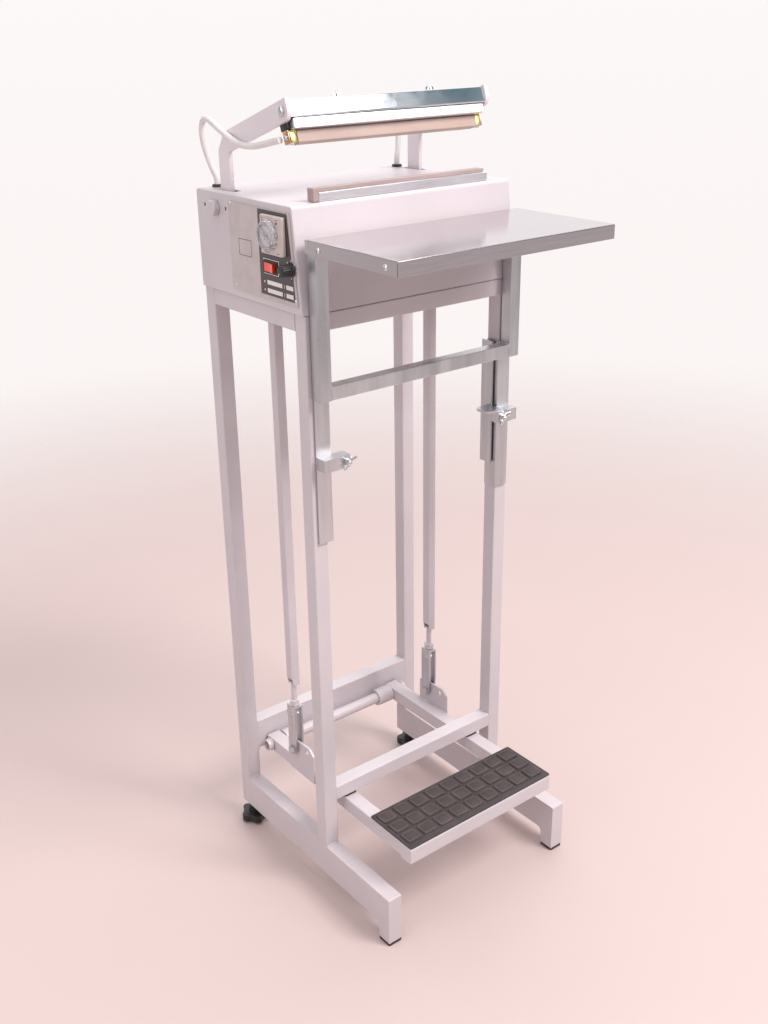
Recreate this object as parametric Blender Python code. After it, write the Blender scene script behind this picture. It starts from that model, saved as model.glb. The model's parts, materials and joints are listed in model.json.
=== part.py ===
"""Foot-operated impulse heat sealer on a tubular steel stand.

All dimensions are millimetres in the stand's own axes: x = 0 is the stand's centre line, y = 0 the
front faces of the front posts (+y runs to the rear) and z = 0 the floor.  metres() moves a point into
the finished part's frame, whose origin lies on the floor under the middle of the bounding box.
"""
import bmesh
import bpy
from math import acos, atan2, cos, hypot, pi, radians, sin, tan, tau
from mathutils import Matrix, Vector

MM = 0.001
GAP = 0.3                    # clearance between pieces that touch
AXES = "xyz"

# ---- stand --------------------------------------------------------------------------------------
TUBE = 25.0                  # square tube of the posts, rails and pedal
WALL = 1.5                   # wall of every tube and of the hood's sheet
HALF_WIDTH = 191.8           # outer faces of the posts
REAR = 261.7                 # rear faces of the rear posts
SLED_BOTTOM, SLED_TOP = 33.6, 89.7
FOOT_FRONT, FOOT_LENGTH, CAP_HEIGHT = -164.1, 25.7, 4.7
POST_TOP = 972.6
CROSSBAR_BOTTOM = 172.0
REAR_BAR_BOTTOM, REAR_BAR_TOP = 145.0, 201.0
INNER = HALF_WIDTH - TUBE    # inner faces of the posts
LEVEL_FOOT_X, LEVEL_FOOT_Y, LEVEL_FOOT_RADIUS = 182.0, 240.0, 25.9

# ---- pedal and pull rods -------------------------------------------------------------------------
PEDAL_AXIS = (221.5, 155.5)  # (y, z) of the pivot tube
PIVOT_RADIUS, COLLAR_RADIUS = 10.0, 15.5
PIVOT_SPAN = (-160.0, 150.0)
COLLARS = {"left": (-124.0, -92.0), "right": (84.0, 116.0)}
PEDAL_ARMS = {"left": (-150.0, -125.0), "right": (117.0, 142.0)}
LUG_PLATES = {"left": (-153.0, -149.0), "right": (141.0, 145.0)}
ROD_X = {"left": -151.5, "right": 143.5}
ARM_BOTTOM = PEDAL_AXIS[1] - TUBE / 2
ARM_TOP = PEDAL_AXIS[1] + TUBE / 2
PEDAL_FRONT, PEDAL_PLATE_REAR = -170.0, -66.0
PEDAL_SPAN = (-152.0, 148.0)
MAT_SPAN = (-151.0, 150.0)   # overhangs the plate's right end a little
PLATE_SHEET, MAT_THICK = 1.5, 4.0
ROD_Y = 137.0                # pull rods stand upright at rest
ROD_PIN_Z = 193.0
ROD_SIZE = 16.0
ROD_BOTTOM = 320.0
CLEVIS_TOP, CLEVIS_BOTTOM, CLEVIS_SHOULDER = 280.0, 184.0, 216.0

# ---- hood and what it carries --------------------------------------------------------------------
HOOD_HALF = 195.6
HOOD_BOTTOM, HOOD_TOP = 973.6, 1115.2
HOOD_FRONT_LOW, HOOD_FRONT_HIGH, HOOD_REAR = -0.8, 16.3, 262.4
HOOD_FILLET = 5.0
JAW_AXIS = (208.0, 1093.0)   # (y, z) of the jaw shaft
PLATE_FACE = HOOD_HALF + GAP            # distances from x = 0 towards the left
FASCIA_FACE = PLATE_FACE + 1.2 + GAP
BEZEL_FACE = FASCIA_FACE + 0.5 + GAP
TIMER_CENTRE = (54.5, 1074.3)           # (y, z)
TIMER_SIZE = (53.0, 52.0)
DIAL_CENTRE, DIAL_RADIUS, DIAL_DEPTH = (58.5, 1074.7), 20.5, 8.5
BEZEL_DEPTH = 5.7
SWITCH_CENTRE, SWITCH_SIZE = (66.0, 1029.7), (35.0, 17.5)
KNOB_CENTRE, KNOB_RADIUS, KNOB_DEPTH = (18.0, 1033.5), 10.0, 18.0
GROMMETS = {"left": (-168.0, 246.0), "right": (166.0, 246.0)}
GLAND = (-130.0, 1000.0)                # (x, z) in the rear wall
BOLT_HEAD, BOLT_ACROSS = 8.7, 20.5      # pivot bolt's head: its height and its width across flats
SIDE_HOLES = ((238.5, 1094.3), (181.5, 1094.3))     # (y, z) of the small holes beside the pivot bolt

# ---- jaws ----------------------------------------------------------------------------------------
OPEN_ANGLE = 18.5                       # degrees from the closed jaw to the open one
SEAL_Y = 31.0                           # centre of both jaws where they meet
STRIP_TOP = 1133.3
LOWER_BAR_TOP = 1128.0
LOWER_BAR_SPAN, STRIP_SPAN = (-145.0, 158.0), (-154.0, 150.0)
JAW_ARMS = {"left": (-177.0, -171.0), "right": (169.0, 175.0)}
ARM_WIDTH = 28.0
HEATER_BOTTOM = STRIP_TOP + GAP
HEATER_TOP = HEATER_BOTTOM + 16.6
HEATER_SPAN = (-158.5, 155.5)
BAR_TOP = HEATER_TOP + GAP + 13.5
BAR_SPAN, BAR_FRONT = (-167.0, 166.0), 12.5
CHANNEL_TOP = BAR_TOP + GAP + 22.5
CHANNEL_DEPTH = (10.0, 40.0)
ARM_LEVEL = CHANNEL_TOP + 1.5 - ARM_WIDTH / 2       # middle of the arms' level front part
CHANNEL_SPAN = (JAW_ARMS["left"][1] + GAP, JAW_ARMS["right"][0] - GAP)
WING_NUT_X, WING_NUT_Y = (-84.0, 79.0), 22.0
LEVER = JAW_AXIS[0] - ROD_Y             # lever from the jaw shaft to the pull rod's pin
SPRING_X, SPRING_Y = -60.0, 238.0
SPRING_BOTTOM, SPRING_TOP = 981.0, 1081.0

# ---- work table ----------------------------------------------------------------------------------
TABLE_HALF = 190.5
TABLE_FRONT, TABLE_REAR, TABLE_TOP, TABLE_FLANGE = -199.2, -7.4, 1076.3, 20.0
POST = 20.0
TABLE_POST_FRONT = -22.0
TABLE_POSTS = {"left": -186.0, "right": 168.9}      # left edges
TABLE_LEGS = {"left": -184.0, "right": 163.3}
LEG_BOTTOM, LEG_TOP, LEG_THICK = 635.0, 877.0, 3.0
CROSS_BOTTOM = 855.0
CLAMPS = {"left": (-183.0, -138.0), "right": (150.0, 189.0)}
CLAMP_Z = (751.0, 770.0)
WING_X = {"left": -145.0, "right": 157.0}
CARRIER_THICK = 4.0                                 # bars under the tray that the posts hold
GUIDE_PLATE = ((157.5, 161.0), (4.0, 27.0), (676.0, 876.0))

# ---- bounding box, which places the origin -------------------------------------------------------
LEFT_EDGE = -(BEZEL_FACE + KNOB_DEPTH)
RIGHT_EDGE = LEVEL_FOOT_X + LEVEL_FOOT_RADIUS
REAR_EDGE = HOOD_REAR + GAP + 3.0
ORIGIN = Vector(((LEFT_EDGE + RIGHT_EDGE) / 2, (TABLE_FRONT + REAR_EDGE) / 2, 0.0))


# ---- materials -----------------------------------------------------------------------------------
def material(name, colour, roughness, metallic=0.0):
    found = bpy.data.materials.get(name)
    if found:
        return found
    made = bpy.data.materials.new(name)
    made.use_nodes = True
    shader = made.node_tree.nodes["Principled BSDF"]
    shader.inputs["Base Color"].default_value = (*colour, 1.0)
    shader.inputs["Roughness"].default_value = roughness
    shader.inputs["Metallic"].default_value = metallic
    return made


PAINT = ("grey_paint", (0.52, 0.50, 0.50), 0.40)
ZINC = ("zinc_steel", (0.62, 0.63, 0.66), 0.35, 1.0)
STAINLESS = ("stainless", (0.68, 0.68, 0.68), 0.25, 1.0)
ALUMINIUM = ("aluminium", (0.75, 0.76, 0.78), 0.35, 1.0)
CHROME = ("polished_channel", (0.80, 0.82, 0.84), 0.08, 1.0)
BRASS = ("brass", (0.80, 0.62, 0.25), 0.30, 1.0)
PTFE = ("ptfe_cloth", (0.80, 0.60, 0.44), 0.60)
RUBBER = ("black_rubber", (0.03, 0.03, 0.03), 0.80)
BLACK = ("black_plastic", (0.03, 0.03, 0.03), 0.40)
BEIGE = ("beige_plastic", (0.62, 0.58, 0.50), 0.45)
CLEAR = ("dial_plastic", (0.75, 0.75, 0.78), 0.15)
RED = ("red_plastic", (0.80, 0.08, 0.03), 0.30)
SLEEVE = ("white_sleeve", (0.85, 0.83, 0.80), 0.60)
IRON = ("lamination_steel", (0.30, 0.28, 0.27), 0.60, 1.0)


# ---- outlines ------------------------------------------------------------------------------------
def circle(centre, radius, steps):
    return [(centre[0] + radius * cos(tau * i / steps), centre[1] + radius * sin(tau * i / steps))
            for i in range(steps)]


def rectangle(u, v):
    return [(u[0], v[0]), (u[1], v[0]), (u[1], v[1]), (u[0], v[1])]


def filleted(corners, steps=3):
    """Rounds an outline: each corner is (u, v, radius), and a radius of 0 keeps it sharp."""
    outline = []
    for i, (u, v, radius) in enumerate(corners):
        here = Vector((u, v))
        if radius == 0:
            outline.append((u, v))
            continue
        before = (Vector(corners[i - 1][:2]) - here).normalized()
        after = (Vector(corners[(i + 1) % len(corners)][:2]) - here).normalized()
        half = acos(max(-1.0, min(1.0, before.dot(after)))) / 2
        centre = here + (before + after).normalized() * radius / sin(half)
        start = here + before * radius / tan(half) - centre
        end = here + after * radius / tan(half) - centre
        turn = start.angle_signed(end)
        for step in range(steps + 1):
            point = centre + Matrix.Rotation(-turn * step / steps, 2) @ start
            outline.append((point.x, point.y))
    return outline


def span_about(centre, size):
    return (centre - size / 2, centre + size / 2)


def rounded_rectangle(u, v, radius, steps=3):
    return filleted([(a, b, radius) for a, b in rectangle(u, v)], steps)


def link_outline(a, radius_a, b, radius_b, steps=8):
    """The outline of a flat link: two round ends joined by straight tangents."""
    heading = atan2(b[1] - a[1], b[0] - a[0])
    lean = acos((radius_a - radius_b) / hypot(b[0] - a[0], b[1] - a[1]))
    outline = []
    for centre, radius, first, last in ((a, radius_a, lean, tau - lean), (b, radius_b, -lean, lean)):
        for step in range(steps + 1):
            angle = heading + first + (last - first) * step / steps
            outline.append((centre[0] + radius * cos(angle), centre[1] + radius * sin(angle)))
    return outline


# ---- solids, in millimetres ----------------------------------------------------------------------
def prism(axis, span, outline):
    """Extrudes an outline along an axis.  The outline's (u, v) are the other two axes, in x-y-z order."""
    along = AXES.index(axis)
    others = [i for i in range(3) if i != along]
    bm = bmesh.new()
    ends = []
    for level in span:
        ring = []
        for u, v in outline:
            point = [0.0, 0.0, 0.0]
            point[along], point[others[0]], point[others[1]] = level, u, v
            ring.append(bm.verts.new(point))
        bm.faces.new(ring)
        ends.append(ring)
    count = len(outline)
    for i in range(count):
        j = (i + 1) % count
        bm.faces.new((ends[0][i], ends[0][j], ends[1][j], ends[1][i]))
    bmesh.ops.recalc_face_normals(bm, faces=bm.faces)
    return bm


def box(x, y, z):
    return prism("z", z, rectangle(x, y))


def rod(axis, span, centre, radius, steps=24):
    return prism(axis, span, circle(centre, radius, steps))


def bevelled(bm, width, segments=2, keep=lambda edge: True):
    """Rounds the solid's sharp edges that pass the keep test."""
    sharp = [e for e in bm.edges if e.calc_face_angle(0.0) > radians(30) and keep(e)]
    bmesh.ops.bevel(bm, geom=sharp, offset=width, segments=segments, profile=0.5, affect="EDGES",
                    clamp_overlap=True)
    return bm


def solid_object(name, bm):
    mesh = bpy.data.meshes.new(name)
    bm.to_mesh(mesh)
    bm.free()
    made = bpy.data.objects.new(name, mesh)
    bpy.context.scene.collection.objects.link(made)
    return made


def boolean(bm, tool, operation):
    base, other = solid_object("boolean_base", bm), solid_object("boolean_tool", tool)
    modifier = base.modifiers.new(operation, "BOOLEAN")
    modifier.operation = operation
    modifier.object = other
    result = bmesh.new()
    result.from_object(base, bpy.context.evaluated_depsgraph_get())
    for used in (base, other):
        mesh = used.data
        bpy.data.objects.remove(used)
        bpy.data.meshes.remove(mesh)
    bmesh.ops.remove_doubles(result, verts=result.verts, dist=0.001)
    return result


def union(bm, *others):
    for other in others:
        bm = boolean(bm, other, "UNION")
    return bm


def cut(bm, *tools):
    for tool in tools:
        bm = boolean(bm, tool, "DIFFERENCE")
    return bm


def common(bm, other):
    return boolean(bm, other, "INTERSECT")


def square_tube(axis, span, u, v, wall=WALL, radius=2.0):
    """An open-ended tube with rounded corners."""
    inside = rectangle((u[0] + wall, u[1] - wall), (v[0] + wall, v[1] - wall))
    past = (span[0] - 1, span[1] + 1)
    return cut(prism(axis, span, rounded_rectangle(u, v, radius)), prism(axis, past, inside))


def round_tube(axis, span, centre, outer, inner, steps=24):
    past = (span[0] - 1, span[1] + 1)
    return cut(rod(axis, span, centre, outer, steps), rod(axis, past, centre, inner, steps))


# ---- placing -------------------------------------------------------------------------------------
def metres(point):
    return (Vector(point) - ORIGIN) * MM


AXIS_POINTS = {}


def body_axis(name, point, parent=None, turn_x=0.0):
    """An empty on a joint's axis, which carries the body that turns about it."""
    empty = bpy.data.objects.new(name, None)
    bpy.context.scene.collection.objects.link(empty)
    AXIS_POINTS[name] = Vector(point)
    if parent:
        empty.parent = bpy.data.objects[parent]
        empty.location = (Vector(point) - AXIS_POINTS[parent]) * MM
    else:
        empty.location = metres(point)
    empty.rotation_euler.x = turn_x
    return empty


def place(name, bm, look, axis=None):
    """Makes the object.  With an axis, its origin lies on that axis, and otherwise at its own middle."""
    if axis:
        origin = AXIS_POINTS[axis]
    else:
        corners = [Vector([pick(v.co[i] for v in bm.verts) for i in range(3)]) for pick in (min, max)]
        origin = (corners[0] + corners[1]) / 2
    bmesh.ops.translate(bm, verts=bm.verts, vec=-origin)
    bmesh.ops.scale(bm, verts=bm.verts, vec=(MM, MM, MM))
    made = solid_object(name, bm)
    if axis:
        made.parent = bpy.data.objects[axis]
    else:
        made.location = metres(origin)
    made.data.materials.append(material(*look))
    made.data.shade_smooth()
    made.data.set_sharp_from_angle(angle=radians(35))
    return made


# ---- stand ---------------------------------------------------------------------------------------
def sleds():
    outer = [(FOOT_FRONT, CAP_HEIGHT + GAP, 0), (FOOT_FRONT, SLED_TOP, 2), (REAR, SLED_TOP, 2),
             (REAR, SLED_BOTTOM, 2), (FOOT_FRONT + FOOT_LENGTH, SLED_BOTTOM, 8),
             (FOOT_FRONT + FOOT_LENGTH, CAP_HEIGHT + GAP, 0)]
    inner = [(FOOT_FRONT + 2, CAP_HEIGHT - 2), (FOOT_FRONT + 2, SLED_TOP - 2), (REAR - 2, SLED_TOP - 2),
             (REAR - 2, SLED_BOTTOM + 2), (FOOT_FRONT + FOOT_LENGTH - 2, SLED_BOTTOM + 2),
             (FOOT_FRONT + FOOT_LENGTH - 2, CAP_HEIGHT - 2)]
    for side, x in (("left", -HALF_WIDTH), ("right", INNER)):
        shell = bevelled(prism("x", (x, x + TUBE), filleted(outer)), 2.0, 2,
                         lambda e: e.calc_length() > 20 and abs(e.verts[0].co.x - e.verts[1].co.x) < 1
                         and min(v.co.z for v in e.verts) > CAP_HEIGHT + 1)
        place(f"sled_{side}", cut(shell, prism("x", (x + 2, x + TUBE - 2), inner)), PAINT)
        outline = rounded_rectangle((x - 0.4, x + TUBE + 0.4),
                                    (FOOT_FRONT - 0.4, FOOT_FRONT + FOOT_LENGTH + 0.4), 3)
        cap = prism("z", (0, CAP_HEIGHT), outline)
        place(f"foot_cap_{side}", cap, RUBBER)


def posts():
    for side, x in (("left", -HALF_WIDTH), ("right", INNER)):
        for end, y in (("front", 0.0), ("rear", REAR - TUBE)):
            tube = square_tube("z", (SLED_TOP + GAP, POST_TOP), (x, x + TUBE), (y, y + TUBE))
            place(f"post_{end}_{side}", tube, PAINT)


def rails():
    span = (-INNER + GAP, INNER - GAP)
    top = (POST_TOP - TUBE, POST_TOP)
    place("top_rail_front", square_tube("x", span, (0, TUBE), top), PAINT)
    place("top_rail_rear", square_tube("x", span, (REAR - TUBE, REAR), top), PAINT)
    for side, x in (("left", -HALF_WIDTH), ("right", INNER)):
        tube = square_tube("y", (TUBE + GAP, REAR - TUBE - GAP), (x, x + TUBE), top)
        place(f"top_rail_{side}", tube, PAINT)
    height = (CROSSBAR_BOTTOM, CROSSBAR_BOTTOM + TUBE)
    place("front_crossbar", square_tube("x", span, (0, TUBE), height), PAINT)


def rear_crossbar():
    """The rear crossbar carries the two collars that the pedal's pivot tube turns in."""
    bar = square_tube("x", (-INNER + GAP, INNER - GAP), (REAR - TUBE, REAR),
                      (REAR_BAR_BOTTOM, REAR_BAR_TOP))
    for span in COLLARS.values():
        bar = union(bar, rod("x", span, PEDAL_AXIS, COLLAR_RADIUS))
    for span in COLLARS.values():
        bore = rod("x", (span[0] - 1, span[1] + 1), PEDAL_AXIS, PIVOT_RADIUS + 2 * GAP)
        bar = cut(bar, bore)
    place("rear_crossbar", bar, PAINT)


def pedal_bumpers():
    for side, x in PEDAL_ARMS.items():
        pad = prism("z", (ARM_TOP + GAP, CROSSBAR_BOTTOM - GAP),
                    rounded_rectangle((x[0] + 1, x[1] - 1), (1, TUBE - 1), 3))
        place(f"pedal_bumper_{side}", pad, RUBBER)


def levelling_feet():
    lobes, steps, depth = 5, 50, 3.4
    for side, sign in (("left", -1), ("right", 1)):
        centre = (sign * LEVEL_FOOT_X, LEVEL_FOOT_Y)
        star = []
        for i in range(steps):
            angle = tau * i / steps
            radius = LEVEL_FOOT_RADIUS - depth + depth * cos(lobes * angle)
            star.append((centre[0] + sign * radius * cos(angle), centre[1] + radius * sin(angle)))
        body = union(prism("z", (4.0, 17.0), star), rod("z", (0.0, 5.0), centre, 14.0),
                     rod("z", (16.0, 24.0), centre, 11.0), rod("z", (23.0, SLED_BOTTOM - GAP), centre, 5.5))
        body_axis(f"level_axis_{side}", (*centre, 0.0))
        place(f"levelling_foot_{side}", body, BLACK, f"level_axis_{side}")


# ---- pedal ---------------------------------------------------------------------------------------
def pedal():
    body_axis("pedal_axis", (0.0, *PEDAL_AXIS))
    height = (ARM_BOTTOM, ARM_TOP)
    lug = [(160, ARM_BOTTOM + 3, 2), (160, 207, 5), (99, 211, 5), (86, 200, 5), (86, ARM_BOTTOM + 3, 2)]
    for side, x in PEDAL_ARMS.items():
        arm = square_tube("y", (PEDAL_FRONT + TUBE + GAP, PEDAL_AXIS[0] + 11), x, height)
        arm = union(arm, prism("x", LUG_PLATES[side], filleted(lug)))
        past = (x[0] - 6, x[1] + 6)
        arm = cut(arm, rod("x", past, PEDAL_AXIS, PIVOT_RADIUS + GAP),
                  rod("x", past, (ROD_Y, ROD_PIN_Z), 4.6), rod("x", past, (105.0, 200.0), 4.6))
        place(f"pedal_arm_{side}", arm, PAINT, "pedal_axis")
    sheet_bottom = ARM_TOP + GAP
    sheet_top = sheet_bottom + PLATE_SHEET
    front = prism("x", PEDAL_SPAN, rounded_rectangle((PEDAL_FRONT, PEDAL_FRONT + TUBE),
                  (ARM_BOTTOM, sheet_top), 2))
    bore = prism("x", (PEDAL_SPAN[0] + WALL, PEDAL_SPAN[1] - WALL),
                 rectangle((PEDAL_FRONT + WALL, PEDAL_FRONT + TUBE - WALL),
                           (ARM_BOTTOM + WALL, ARM_TOP - WALL)))
    middle = PEDAL_FRONT + TUBE / 2
    drains = [rod("z", (ARM_BOTTOM - 1, ARM_BOTTOM + WALL + 1), (x, middle), 3.0, 12) for x in (-120, 116)]
    sheet = box(PEDAL_SPAN, (PEDAL_FRONT + 5, PEDAL_PLATE_REAR), (sheet_bottom, sheet_top))
    place("foot_plate", union(cut(front, bore, *drains), sheet), PAINT, "pedal_axis")
    mat = prism("z", (sheet_top + GAP, sheet_top + GAP + MAT_THICK),
                rounded_rectangle(MAT_SPAN, (PEDAL_FRONT + 1, PEDAL_PLATE_REAR - 1), 3))
    place("tread_mat", mat, RUBBER, "pedal_axis")
    place("pivot_tube", round_tube("x", PIVOT_SPAN, PEDAL_AXIS, PIVOT_RADIUS, PIVOT_RADIUS - 2),
          PAINT, "pedal_axis")


def hexagon(centre, across_flats, turn=0.0):
    radius = across_flats / 2 / cos(pi / 6)
    return [(centre[0] + radius * cos(turn + tau * i / 6), centre[1] + radius * sin(turn + tau * i / 6))
            for i in range(6)]


def clevis(x):
    """A bent strip that straddles the pedal's lug, narrower at its bolt through both ears."""
    wide, narrow, sheet = 11.0, 7.5, 3.0
    ears = cut(box((x - 8, x + 8), (ROD_Y - wide - 1, ROD_Y + wide + 1), (CLEVIS_BOTTOM - 4, CLEVIS_TOP)),
               box((x - 8 + sheet, x + 8 - sheet), (ROD_Y - wide - 2, ROD_Y + wide + 2),
                   (CLEVIS_BOTTOM - 14, CLEVIS_TOP - sheet - 1)))
    side = [(ROD_Y - narrow, CLEVIS_BOTTOM, 6), (ROD_Y + narrow, CLEVIS_BOTTOM, 6),
            (ROD_Y + wide, CLEVIS_SHOULDER, 4), (ROD_Y + wide, CLEVIS_TOP + 1, 0),
            (ROD_Y - wide, CLEVIS_TOP + 1, 0), (ROD_Y - wide, CLEVIS_SHOULDER, 4)]
    ears = common(ears, prism("x", (x - 9, x + 9), filleted(side, 4)))
    ears = cut(ears, rod("x", (x - 9, x + 9), (ROD_Y, CLEVIS_TOP - 18), 3.0, 12),
               rod("z", (CLEVIS_TOP - 6, CLEVIS_TOP + 1), (x, ROD_Y), 5.0, 16))
    pin = (ROD_Y, ROD_PIN_Z)
    return union(ears, rod("x", (x - 11, x + 14), pin, 4.0, 16),
                 prism("x", (x - 12.5, x - 7.5), hexagon(pin, 13.0)),
                 prism("x", (x + 7.5, x + 12.5), hexagon(pin, 13.0)))


def pull_rod(x):
    """A square tube with a slotted top for the shaft's lever and its pin, and a stud with a nut below."""
    half, top = ROD_SIZE / 2, JAW_AXIS[1] + 11
    tube = square_tube("z", (ROD_BOTTOM, top), (x - half, x + half), (ROD_Y - half, ROD_Y + half))
    slot = box((x - 4, x + 4), (ROD_Y - half - 1, ROD_Y + half + 1), (JAW_AXIS[1] - 16, top + 1))
    corner = [(x - half - 1, ROD_BOTTOM - 1), (x - half + 4, ROD_BOTTOM - 1),
              (x - half - 1, ROD_BOTTOM + 24)]
    slant = prism("y", (ROD_Y - half - 1, ROD_Y + half + 1), corner)
    inside = half - 1
    plug = box((x - half + 5, x + inside), (ROD_Y - inside, ROD_Y + inside), (ROD_BOTTOM, ROD_BOTTOM + 4))
    pin = rod("x", (x - half - 2, x + half + 2), (ROD_Y, JAW_AXIS[1]), 4.0, 16)
    stud = rod("z", (CLEVIS_TOP - 12, ROD_BOTTOM + 2), (x, ROD_Y), 4.5, 16)
    nut = prism("z", (CLEVIS_TOP + GAP, CLEVIS_TOP + 10), hexagon((x, ROD_Y), 15.0))
    return union(cut(tube, slot, slant), plug, pin, stud, nut)


def pull_rods():
    for side, x in ROD_X.items():
        axis = f"rod_axis_{side}"
        body_axis(axis, (x, ROD_Y, ROD_PIN_Z), "pedal_axis")
        place(f"pull_rod_{side}", pull_rod(x), PAINT, axis)
        place(f"clevis_{side}", clevis(x), ZINC, axis)


# ---- hood ----------------------------------------------------------------------------------------
def hood_outline(inset, bottom):
    """The hood's side outline in (y, z), shrunk by the sheet's thickness for its inside."""
    slope = (HOOD_FRONT_HIGH - HOOD_FRONT_LOW) / (HOOD_TOP - HOOD_BOTTOM)
    top = HOOD_TOP - inset

    def front(z):
        return HOOD_FRONT_LOW + slope * (z - HOOD_BOTTOM) + inset
    radius = HOOD_FILLET - inset
    return filleted([(front(bottom), bottom, 0), (front(top), top, radius),
                     (HOOD_REAR - inset, top, radius), (HOOD_REAR - inset, bottom, 0)])


def casing_hood():
    shell = prism("x", (-HOOD_HALF, HOOD_HALF), hood_outline(0.0, HOOD_BOTTOM))
    shell = bevelled(shell, 2.5, 2, lambda e: abs(e.verts[0].co.x - e.verts[1].co.x) < 1
                     and max(v.co.z for v in e.verts) > HOOD_BOTTOM + 1)
    inside = HOOD_HALF - WALL
    hood = cut(shell, prism("x", (-inside, inside), hood_outline(WALL, HOOD_BOTTOM - 5)))
    top = (HOOD_TOP - 8, HOOD_TOP + 5)
    for side, x in JAW_ARMS.items():
        slot = (x[0] - 2, x[1] + 6) if side == "left" else (x[0] - 6, x[1] + 2)
        outward = -1 if side == "left" else 1
        through = sorted((outward * (inside - 4), outward * (HOOD_HALF + 4)))
        hood = cut(hood, box(slot, (184, 227), top), rod("z", top, GROMMETS[side], 6.5, 16),
                   rod("x", through, JAW_AXIS, 6.6), *side_holes(through, (4.2, 6.0)))
    hood = cut(hood, panel_opening(TIMER_CENTRE, (46, 46)), panel_opening(SWITCH_CENTRE, (32, 15)),
               rod("x", (-HOOD_HALF - 4, -inside + 4), KNOB_CENTRE, 3.6, 12),
               rod("y", (HOOD_REAR - 8, HOOD_REAR + 5), GLAND, 7.0, 16))
    place("casing_hood", hood, PAINT)


def side_holes(span, size):
    """Cutters for the two small upright holes beside a pivot bolt."""
    return [prism("x", span, rounded_rectangle(span_about(y, size[0]), span_about(z, size[1]), 1.8, 2))
            for y, z in SIDE_HOLES]


def panel_opening(centre, size):
    """A cutter for a rectangular hole through the hood's left side, the control plate and the fascia."""
    y, z = ((centre[i] - size[i] / 2, centre[i] + size[i] / 2) for i in (0, 1))
    return box((-HOOD_HALF - 8, -HOOD_HALF + 8), y, z)


def control_panel():
    plate = filleted([(6.5, 984, 2), (172, 984, 2), (172, 1107, 2), (20.0, 1107, 2)], 2)
    fascia = filleted([(12.0, 990, 1), (95, 990, 1), (95, 1105, 1), (25.0, 1105, 1)], 2)
    for name, face, thick, outline, look in (("control_plate", PLATE_FACE, 1.2, plate, ALUMINIUM),
                                             ("control_fascia", FASCIA_FACE, 0.5, fascia, BLACK)):
        sheet = cut(prism("x", (-face - thick, -face), outline), panel_opening(TIMER_CENTRE, (46, 46)),
                    panel_opening(SWITCH_CENTRE, (32, 15)),
                    rod("x", (-face - 4, -face + 4), KNOB_CENTRE, 3.6, 12))
        place(name, sheet, look)


def timer():
    face = -BEZEL_FACE - BEZEL_DEPTH
    outline = rounded_rectangle(span_about(TIMER_CENTRE[0], TIMER_SIZE[0]),
                                span_about(TIMER_CENTRE[1], TIMER_SIZE[1]), 2.5)
    bezel = prism("x", (face, -BEZEL_FACE), outline)
    bezel = bevelled(bezel, 1.2, 2, lambda e: max(v.co.x for v in e.verts) < face + 0.1)
    body = box((-BEZEL_FACE - 2, -130), span_about(TIMER_CENTRE[0], 45), span_about(TIMER_CENTRE[1], 45))
    place("timer_body", union(bezel, body), BEIGE)
    body_axis("dial_axis", (face, *DIAL_CENTRE))
    dial = rod("x", (face - GAP - DIAL_DEPTH, face - GAP), DIAL_CENTRE, DIAL_RADIUS, 40)
    dial = bevelled(dial, 2.0, 2, lambda e: max(v.co.x for v in e.verts) < face - DIAL_DEPTH + 1)
    place("timer_dial", dial, CLEAR, "dial_axis")


def switches():
    face = -BEZEL_FACE - 2.2
    y, z = SWITCH_CENTRE
    bezel = prism("x", (face, -BEZEL_FACE), rounded_rectangle(span_about(y, SWITCH_SIZE[0]),
                  span_about(z, SWITCH_SIZE[1]), 1.5))
    bezel = union(bezel, box((-BEZEL_FACE - 1, -170), span_about(y, 31), span_about(z, 14.5)))
    pocket = box((face - 1, -HOOD_HALF + 9), span_about(y, 26), span_about(z, 12.6))
    place("switch_bezel", cut(bezel, pocket), BLACK)
    pivot = Vector((-HOOD_HALF - 1, y, z))
    body_axis("rocker_axis", pivot)
    half, tilt = 12.0, radians(6)
    crown = [(pivot.x - 5.5, y), (pivot.x - 5.5 - half * sin(tilt), y + half),
             (pivot.x + 4, y + half - 1.5), (pivot.x + 6, y), (pivot.x + 4, y - half + 1.5),
             (pivot.x - 5.5 - half * sin(tilt), y - half)]
    rocker = prism("z", span_about(z, 12), crown)
    turned = Matrix.Translation(pivot) @ Matrix.Rotation(-tilt, 4, "Z") @ Matrix.Translation(-pivot)
    bmesh.ops.transform(rocker, matrix=turned, verts=rocker.verts)
    place("power_rocker", rocker, RED, "rocker_axis")
    body_axis("knob_axis", (-BEZEL_FACE, *KNOB_CENTRE))
    knob = rod("x", (-BEZEL_FACE - KNOB_DEPTH, -BEZEL_FACE), KNOB_CENTRE, KNOB_RADIUS, 28)
    knob = bevelled(knob, 1.2, 1, lambda e: max(v.co.x for v in e.verts) < -BEZEL_FACE - KNOB_DEPTH + 1)
    knob = union(knob, rod("x", (-BEZEL_FACE - 4, -HOOD_HALF + 6), KNOB_CENTRE, 3.0, 12))
    place("selector_knob", knob, BLACK, "knob_axis")


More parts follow.
